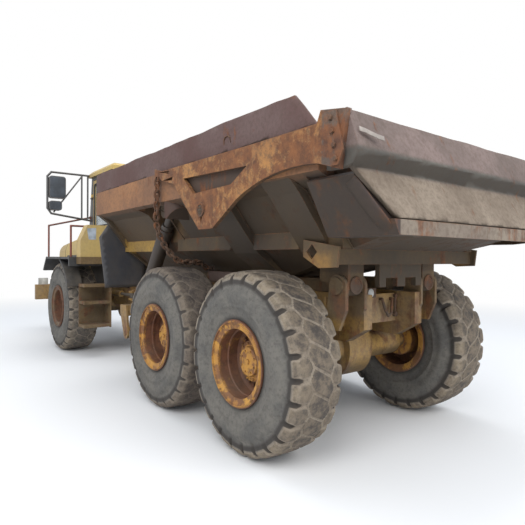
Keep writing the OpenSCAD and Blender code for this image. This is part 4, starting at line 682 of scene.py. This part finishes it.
def groove_depth(turn, off, radius, outer, wear):
    """Depth of the tread: cuts across the shoulders, a zigzag inside them, slanted cuts in the middle, worn lugs."""
    lugs = turn * LUG_COUNT / (2.0 * math.pi)
    # The inner shoulder's lugs stand half a pitch further than the outer one's
    own = lugs if outer else lugs + 0.5
    across = off_whole(own) * LUG_PITCH
    shoulder = smooth_step(off, 0.120, 0.138)
    cut_width = CUT_HALF + CUT_WIDER_OUT * smooth_step(off, 0.17, 0.24)
    cut = ((CUT_DEPTH + CUT_DEEPER_OUT * smooth_step(off, 0.17, 0.225)) * groove(across, cut_width, CUT_EDGE)
           * shoulder * smooth_step(radius, 0.668, 0.712))
    zigzag = ZIGZAG_DEPTH * groove(abs(off - (ZIGZAG_OFF + ZIGZAG_SWING * saw(own))), NARROW_HALF, NARROW_EDGE)
    signed = off if outer else -off
    slant = lugs - 0.5 - 0.5 * (SLANT_REACH - signed) / (2.0 * SLANT_REACH)
    middle = off_whole(slant) * LUG_PITCH * 0.85
    slanted = SLANT_DEPTH * groove(middle, NARROW_HALF, NARROW_EDGE) * (1.0 - smooth_step(off, 0.095, 0.110))
    flat_top = smooth_step(LUG_PITCH / 2.0 - across, 0.0, 0.075) if off > 0.125 else 1.0
    rounding = ROUNDING_DEPTH * (1.0 - smooth_step(across, 0.012, 0.050)) * shoulder * flat_top
    return max(cut, zigzag, slanted, rounding) * wear


def make_tyre(axle, side, wear):
    """A tyre's skin: its section turned about the axle and pushed in where the tread has its grooves."""
    sign = SIDES[side]
    centre = Vector((AXLE_X[axle], sign * WHEEL_Y, WHEEL_R))
    section = TYRE_SECTION + [(r, -y) for r, y in reversed(TYRE_SECTION)]
    steps = LUG_COUNT * STEPS_PER_LUG
    rings = []
    for k, (cos_t, sin_t) in enumerate(circle(steps)):
        ring = []
        for r, y in section:
            deep = groove_depth(2.0 * math.pi * k / steps, abs(y), r, y >= 0.0, wear) if r > 0.66 else 0.0
            if r > 0.40:
                rough = noise.noise(Vector((r * cos_t, y + 3.0 * AXLE_X[axle], r * sin_t)) * 22.0)
                deep += UNEVENNESS * (rough + 1.0)
            inward = smooth_step(abs(y), 0.10, 0.26) * deep * 0.5
            ring.append((centre.x + (r - deep) * cos_t, centre.y + sign * (y - math.copysign(inward, y)),
                         centre.z + (r - deep) * sin_t))
        rings.append(ring)
    skin = Shape()
    skin.rings(rings, closed=True)
    name = f"{axle}_{side}"
    tyre = skin.piece("tread_" + name, "mud_rubber_" + axle, "wheel_" + name, "tyre_rubber", 50.0)
    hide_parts("tyre_" + name)


def make_rim_trim(axle, side):
    """Lock rings, wheel nuts, and the bolts of the hub's cover."""
    sign = SIDES[side]
    centre = (AXLE_X[axle], sign * WHEEL_Y, WHEEL_R)
    trim = Shape()
    trim.lathe([(0.352, 0.262), (0.358, 0.254), (0.367, 0.2735), (0.362, 0.282), (0.355, 0.280)], centre, sign, 72)
    trim.lathe([(0.299, 0.150), (0.303, 0.136), (0.303, 0.110), (0.290, 0.118), (0.288, 0.142)], centre, sign, 72)
    # Columns: radius of the circle, outward distance, count, width across flats, height
    for radius, out, count, flats, height in ((0.232, 0.020, 20, 0.030, 0.026), (0.158, 0.0985, 12, 0.018, 0.012),
                                              (0.098, 0.130, 8, 0.016, 0.010), (0.0, 0.130, 1, 0.044, 0.014)):
        for k, (c, s) in enumerate(circle(count, math.pi / count)):
            trim.bolt((centre[0] + radius * c, centre[1] + sign * out, centre[2] + radius * s), (0.0, sign, 0.0),
                      flats, height, turn=0.7 * k)
    trim.piece(f"rim_trim_{axle}_{side}", "rusty_rim_" + axle, f"wheel_{axle}_{side}", "yellow_paint")


# How much of the tread is left on each axle's tyres
TREAD_LEFT = {"front": 0.9, "middle": 0.45, "rear": 1.0}
for axle, wear in TREAD_LEFT.items():
    for side in SIDES:
        make_tyre(axle, side, wear)
        make_rim_trim(axle, side)


# Dented plates that stand for flat ones of the frame

DENT_SEED = 5


def dented_copy(node, body, slot, push, scale, edge):
    """The node's own plates, divided and pushed about by a slow noise that both of their faces share."""
    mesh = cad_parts[node].data.copy()
    shape = bmesh.new()
    shape.from_mesh(mesh)
    bmesh.ops.remove_doubles(shape, verts=shape.verts, dist=0.00005)
    bmesh.ops.dissolve_limit(shape, angle_limit=0.01, verts=shape.verts, edges=shape.edges)
    bmesh.ops.triangulate(shape, faces=shape.faces)
    for _ in range(7):
        long_edges = [e for e in shape.edges if e.calc_length() > edge]
        if not long_edges:
            break
        bmesh.ops.subdivide_edges(shape, edges=long_edges, cuts=1)
        bmesh.ops.triangulate(shape, faces=shape.faces)
    for v in shape.verts:
        broad = noise.noise_vector(v.co * scale)
        fine = noise.noise_vector(v.co * scale * 3.1 + Vector((7.0, 1.0, 4.0)))
        field = broad * 0.65 + fine * 0.35
        v.co += Vector((field.x * push[0], field.y * push[1], (field.z - 0.4) * push[2]))
    shape.to_mesh(mesh)
    shape.free()
    piece = finish_piece("dented_" + node, mesh, NODE_FINISH[node], body, 40.0)
    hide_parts(node)


# Without a seed, noise_vector takes its offsets from the clock, and the dents differ from run to run
noise.seed_set(DENT_SEED)

# Columns: node, body, slot, push along X, Y and Z, noise scale, longest edge
for row in [("side_boards", "tip_body", "rusty_plate", (0.008, 0.016, 0.012), 2.2, 0.09),
            ("guard_plates", "tip_body", "guard_paint", (0.010, 0.004, 0.004), 2.6, 0.10),
            ("tailgate_panel", "tailgate", "rusty_plate", (0.012, 0.003, 0.006), 2.4, 0.10)]:
    dented_copy(*row)


# Small parts

def lerp_path(points, gap):
    """Points along a path of straight stretches, a small gap apart."""
    path = [Vector(points[0])]
    for a, b in zip(points, points[1:]):
        a, b = Vector(a), Vector(b)
        count = max(1, int((b - a).length / gap))
        path.extend(a.lerp(b, (k + 1) / count) for k in range(count))
    return path


def rounded_loop(low, high, radius):
    """Corners of a rectangle with round corners, in two coordinates."""
    loop = []
    for u, v, start in ((high[0] - radius, high[1] - radius, 0.0), (low[0] + radius, high[1] - radius, 0.5),
                        (low[0] + radius, low[1] + radius, 1.0), (high[0] - radius, low[1] + radius, 1.5)):
        for k in range(5):
            t = math.pi * (start + k / 8.0)
            loop.append((u + radius * math.cos(t), v + radius * math.sin(t)))
    return loop


# Places of the frame that several small parts share
TAIL_X = -5.050
POST_X = -4.675
GATE_PIVOT_X, GATE_PIVOT_Z = -3.080, 2.170
HINGE_Y, HINGE_Z = 0.540, 1.490
CAB_Y = 0.66


def make_weld_beads():
    """Weld beads where the ribs and the ledge meet the body's skin."""
    x_mid = AXLE_X["middle"]
    beads = Shape()
    for side in SIDES.values():
        for x in (0.05, -0.95, -1.35, -2.00, -2.36, -2.52):
            skin = [(x_mid + x, side * y, z) for y, z in ((0.838, 1.800), (1.196, 2.246), (1.345, 2.306))]
            beads.tube(lerp_path(skin, 0.012), 0.0065, sides=6, lumps=0.18)
        ledge = [(x_mid + x, side * 0.956, 1.802) for x in (0.22, -0.95)]
        beads.tube(lerp_path(ledge, 0.014), 0.005, sides=6, lumps=0.2)
    beads.piece("weld_beads", "rib_paint", "tip_body", "body_paint", 60.0)


def make_tail_parts():
    """Rolled edges along the cheeks' rear, and gussets that close the rails' ends."""
    rolls = Shape()
    gussets = Shape()
    for side in SIDES.values():
        # From the lip up to the tailgate's fold
        edge = [(TAIL_X + 0.030, side * 1.104, 1.892), (TAIL_X + 0.036, side * 1.196, 1.985),
                (TAIL_X + 0.190, side * 1.330, 2.262)]
        path = lerp_path(edge, 0.05)
        rings = []
        for i, p in enumerate(path):
            ahead = (path[min(i + 1, len(path) - 1)] - path[max(i - 1, 0)]).normalized()
            inward = Vector((1.0, 0.0, 0.0)) - ahead * ahead.x
            inward.normalize()
            out = ahead.cross(inward)
            if out.y * side < 0.0:
                out = -out
            half_turn = [math.pi * k / 9.0 for k in range(10)]
            rings.append([p + inward * (0.062 - 0.060 * math.cos(t))
                          + out * (0.017 * max(0.0, math.sin(t)) ** 0.7 - 0.004) for t in half_turn])
        rolls.rings(rings)
        outline = [(-4.800, 2.290), (-4.400, 2.290), (-4.400, 2.475), (-4.660, 2.480), (-4.800, 2.420)]
        gussets.slab("y", outline, (side * 1.180, side * 1.192))
    rolls.piece("tail_rolls", "olive_body", "tip_body", "body_paint", 60.0)
    gussets.piece("tail_gussets", "olive_body", "tip_body", "body_paint")


def make_body_trim():
    """Lifting eyes beside the boards, and pads on the hinge lugs."""
    eyes = Shape()
    pads = Shape()
    for side in SIDES.values():
        loop = [(-3.380, 1.382, 2.722), (-3.384, 1.387, 2.765), (-3.405, 1.388, 2.788), (-3.445, 1.388, 2.792),
                (-3.475, 1.387, 2.772), (-3.486, 1.382, 2.728)]
        eyes.tube([(x, side * y, z) for x, y, z in loop], 0.0075)
        pads.button([(0.076, -4.179), (0.080, -4.184), (0.076, -4.191), (0.060, -4.1925), (0.056, -4.188)],
                    side * HINGE_Y, HINGE_Z, 36)
    eyes.piece("lifting_eyes", "rusty_iron", "tip_body", "rusty_iron")
    pads.piece("hinge_pads", "rusty_iron", "tip_body", "rusty_iron")


def make_torn_strip():
    """A strip that has come loose along the tailgate's upper edge and bends away from it."""
    # Run of the tailgate's upper half for each metre of its rise, from its top edge down
    lean, top_x, top_z = 0.3585, -4.870, 2.675
    rings = []
    # Columns: place across, height, distance from the plate
    for y, z, away in ((1.372, 2.542, 0.004), (1.330, 2.532, 0.014), (1.285, 2.520, 0.018), (1.240, 2.506, 0.026),
                       (1.195, 2.494, 0.040)):
        x = top_x - (top_z - z) * lean - away
        rings.append([Vector((x + out, y, z + up)) for out, up in ((0.0, 0.016), (-0.004, 0.015), (-0.010, -0.014),
                                                                   (-0.006, -0.015))])
    strip = Shape()
    strip.rings(rings)
    strip.piece("torn_strip", "bare_strip", "tailgate", "rusty_plate")


def make_blank_plates():
    """Blank plates on the rear faces of the deck's boxes."""
    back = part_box("side_boxes")[0][0]
    plates = Shape()
    for side in SIDES.values():
        corners = [(1.196, 2.200), (1.045, 2.212), (1.045, 2.015), (1.168, 2.012)]
        plates.slab("x", [(side * y, z) for y, z in corners], (back + 0.0005, back - 0.003))
    plates.piece("blank_plates", "pale_plate", "tractor", "dark_paint")


def make_gate_fastenings():
    """Bolts in the tailgate's wear plates, and keeper rings around the pins it lifts on."""
    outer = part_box("tailgate_arms")[1][1]
    bolts = Shape()
    keepers = Shape()
    for side in SIDES.values():
        for k in range(4):
            bolts.bolt((POST_X - 0.085 - 0.016 * k, side * (outer - 0.001), 2.630 - 0.090 * k), (0.0, side, 0.0),
                       0.034, 0.018, turn=0.5 * k)
        keepers.lathe([(0.046, 1.440), (0.046, 1.4565), (0.066, 1.4565), (0.070, 1.449), (0.070, 1.440)],
                      (GATE_PIVOT_X, 0.0, GATE_PIVOT_Z), side, 40)
        for c, s in circle(4, math.pi / 4.0):
            keepers.bolt((GATE_PIVOT_X + 0.022 * c, side * 1.456, GATE_PIVOT_Z + 0.022 * s), (0.0, side, 0.0),
                         0.012, 0.006)
    bolts.piece("wear_plate_bolts", "rusty_iron", "tailgate", "rusty_iron")
    keepers.piece("pivot_keepers", "rusty_iron", "tailgate", "rusty_iron")


def make_cab_parts():
    """Gaskets around the windows, the rear wiper, and the door's gasket and handle."""
    rubber = Shape()
    x_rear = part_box("cab_shell")[0][0]
    rear = rounded_loop((-0.482, 2.418), (0.482, 3.162), 0.06)
    rubber.tube([(x_rear - 0.001, y, z) for y, z in rear], 0.013, closed=True)
    right = rounded_loop((1.528, 2.318), (2.502, 3.182), 0.06)
    rubber.tube([(x, -CAB_Y - 0.001, z) for x, z in right], 0.013, closed=True)
    rubber.tube([(x_rear - 0.028, 0.05, 2.40), (x_rear - 0.036, -0.02, 2.60), (x_rear - 0.030, -0.12, 2.84)], 0.007)
    rubber.tube([(x_rear - 0.022, -0.02, 2.60), (x_rear - 0.022, -0.22, 3.04)], 0.009, sides=6)
    rubber.tube([(x_rear + 0.004, 0.05, 2.40), (x_rear - 0.034, 0.05, 2.40)], 0.020, sides=12)
    rubber.piece("window_gaskets", "black_plastic", "tractor", "black_plastic", 50.0)
    low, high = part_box("door_glass")
    door = Shape()
    pane = rounded_loop((low[0], low[2]), (high[0], high[2]), 0.05)
    door.tube([(x, CAB_Y + 0.001, z) for x, z in pane], 0.013, closed=True)
    handle = ((-0.004, 2.20), (0.034, 2.19), (0.034, 2.07), (-0.004, 2.06))
    door.tube([(1.585, CAB_Y + out, z) for out, z in handle], 0.009)
    door.piece("door_gasket", "black_plastic", "cab_door", "black_plastic", 50.0)


def make_hood_trim():
    """Louvres, seams and latches on the hood's sides, and the seams across its top."""
    low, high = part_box("hood")
    side_y, shoulder_z = high[1], 1.860
    vents = Shape()
    seams = Shape()
    latches = Shape()

    def top_place(x):
        """Height of the hood's top at x, and half its width there."""
        z = high[2] - (x - low[0]) * 0.1262
        return z, side_y - 0.130 * (z - shoulder_z) / (high[2] - shoulder_z)

    for side in SIDES.values():
        y = side * side_y
        vent = rounded_loop((3.340, 1.385), (4.300, 1.745), 0.04)
        vents.tube([(x, y + side * 0.002, z) for x, z in vent], 0.010, closed=True, sides=6)
        for k in range(8):
            z = 1.420 + 0.042 * k
            slat = [(y + side * (out - 0.001), z + up) for out, up in ((0.0, 0.0), (0.0, 0.028), (0.016, 0.010),
                                                                       (0.019, 0.0))]
            vents.slab("x", slat, (3.365, 4.275))
        for x in (3.180, 4.460):
            z, half = top_place(x)
            seams.tube([(x, y, 1.180), (x, y, shoulder_z), (x, side * half, z), (x, 0.0, z)], 0.0045, sides=6)
        for x, z in ((2.830, 1.300), (3.100, 1.300)):
            base = rounded_loop((x - 0.030, z - 0.055), (x + 0.030, z + 0.055), 0.012)
            latches.slab("y", base, [y + side * out for out in (-0.001, 0.012)])
            pull = ((0.016, -0.030), (0.026, 0.0), (0.016, 0.030))
            latches.tube([(x, y + side * out, z + up) for out, up in pull], 0.007)
    vents.piece("hood_vents", "black_plastic", "hood", "black_plastic")
    seams.piece("hood_seams", "black_plastic", "hood", "black_plastic", 60.0)
    latches.piece("hood_latches", "dark_iron", "hood", "dark_iron")


def make_radiator():
    """Radiator behind the grille: a core with a folded face between two tanks."""
    low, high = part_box("grille")
    x_front = low[0] - 0.085
    half, folds = 0.480, 60
    core = Shape()
    face = [(x_front + 0.010 * (k % 2), half * k / folds - half) for k in range(2 * folds + 1)]
    back = [(x_front - 0.070, y) for y in (half, -half)]
    core.slab("z", back + face, (low[2] + 0.010, high[2] - 0.050))
    for z0, z1 in ((low[2] - 0.050, low[2] + 0.012), (high[2] - 0.052, high[2] - 0.010)):
        tank = rounded_loop((-half - 0.020, z0), (half + 0.020, z1), 0.012)
        core.slab("x", tank, (x_front - 0.085, x_front + 0.018))
    core.piece("radiator", "black_plastic", "tractor", "black_plastic", 20.0)


def make_mirror_glass():
    """Slightly domed panes set into the rear faces of the mirror heads, in a flat dark colour that is a painted
    reflection.
    """
    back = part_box("mirrors")[0][0]
    panes = Shape()
    for side in SIDES.values():
        for y0, y1, z0, z1 in ((1.16, 1.46, 2.83, 3.25), (1.23, 1.46, 2.60, 2.78)):
            rings = []
            for inset, out in ((0.012, 0.0015), (0.016, -0.0006), (0.034, -0.0012), (0.060, -0.0022)):
                loop = rounded_loop((y0 + inset, z0 + inset), (y1 - inset, z1 - inset), max(0.008, 0.044 - inset))
                rings.append([Vector((back - 0.0008 + out, side * y, z)) for y, z in loop])
            panes.rings(rings)
    panes.piece("mirror_panes", "mirror_pane_dark_reflection", "tractor", "dark_paint", 30.0)


def make_lamp_parts():
    """Rims of the headlamps, and a round lens on the tail's lamp box."""
    low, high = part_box("headlamps")
    rims = Shape()
    for side in SIDES.values():
        loop = rounded_loop((0.945, low[2] + 0.015), (1.115, high[2] - 0.015), 0.02)
        rims.tube([(high[0] - 0.003, side * y, z) for y, z in loop], 0.007, closed=True, sides=6)
    rims.piece("lamp_rims", "black_plastic", "tractor", "black_plastic", 50.0)
    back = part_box("rear_fittings")[0][0]
    lens = Shape()
    lens.button([(0.040, back + 0.001), (0.040, back - 0.003), (0.030, back - 0.006), (0.012, back - 0.008)],
                0.170, 1.400, 24)
    lens.piece("tail_lens", "lamp_lens", "rear_chassis", "lamp_lens", 50.0)


for make_parts in (make_weld_beads, make_tail_parts, make_body_trim, make_torn_strip, make_blank_plates,
                   make_gate_fastenings, make_cab_parts, make_hood_trim, make_radiator, make_mirror_glass,
                   make_lamp_parts):
    make_parts()


# Floor, light and background

def make_floor():
    """A pale floor that keeps the truck's shadow. Far from the truck the camera sees plain white."""
    size = 60.0
    mesh = bpy.data.meshes.new("floor")
    mesh.from_pydata([(-size, -size, 0.0), (size, -size, 0.0), (size, size, 0.0), (-size, size, 0.0)], [],
                     [(0, 1, 2, 3)])
    floor = bpy.data.objects.new("floor", mesh)
    scene.collection.objects.link(floor)
    material, g = new_finish("floor")
    g.feed(g.shader, Base_Color=colour(0.88, 0.88, 0.875), Roughness=0.95)
    far = g.node("VectorMath", operation="LENGTH")
    g.fill(far.inputs[0], g.place())
    white = g.feed(g.node("Emission"), Color=WHITE, Strength=1.0)
    share = g.times(g.ramp(far.outputs["Value"], 6.5, 16.0), g.node("LightPath").outputs["Is Camera Ray"])
    g.choose(share, g.shader, white, "Material Output")
    mesh.materials.append(material)


def make_light():
    """Plain soft light from a pale sky and three large squares; the sky itself is seen as white."""
    world = bpy.data.worlds.new("studio")
    world.use_nodes = True
    scene.world = world
    g = Graph(world.node_tree)
    lit = g.feed(world.node_tree.nodes["Background"], Color=colour(0.80, 0.86, 0.95), Strength=0.80)
    seen = g.feed(g.node("Background"), Color=WHITE, Strength=1.0)
    path = g.node("LightPath").outputs
    either = g.math("MAXIMUM", path["Is Camera Ray"],
                    g.math("MAXIMUM", path["Is Glossy Ray"], path["Is Transmission Ray"]))
    g.choose(either, lit, seen, "World Output")
    # Columns: name, place, power in watts, size of the square
    for name, place, power, size in [("sky_left", (-8.0, 9.0, 9.0), 780.0, 7.0),
                                     ("sky_back", (-13.0, -2.0, 8.0), 600.0, 7.0),
                                     ("sky_top", (1.0, 0.0, 12.0), 600.0, 10.0)]:
        data = bpy.data.lights.new(name, "AREA")
        data.energy = power
        data.size = size
        lamp = bpy.data.objects.new(name, data)
        lamp.location = place
        lamp.rotation_euler = (Vector((0.0, 0.0, 1.2)) - Vector(place)).to_track_quat("-Z", "Y").to_euler()
        scene.collection.objects.link(lamp)


make_floor()
make_light()
scene.view_settings.view_transform = "Standard"
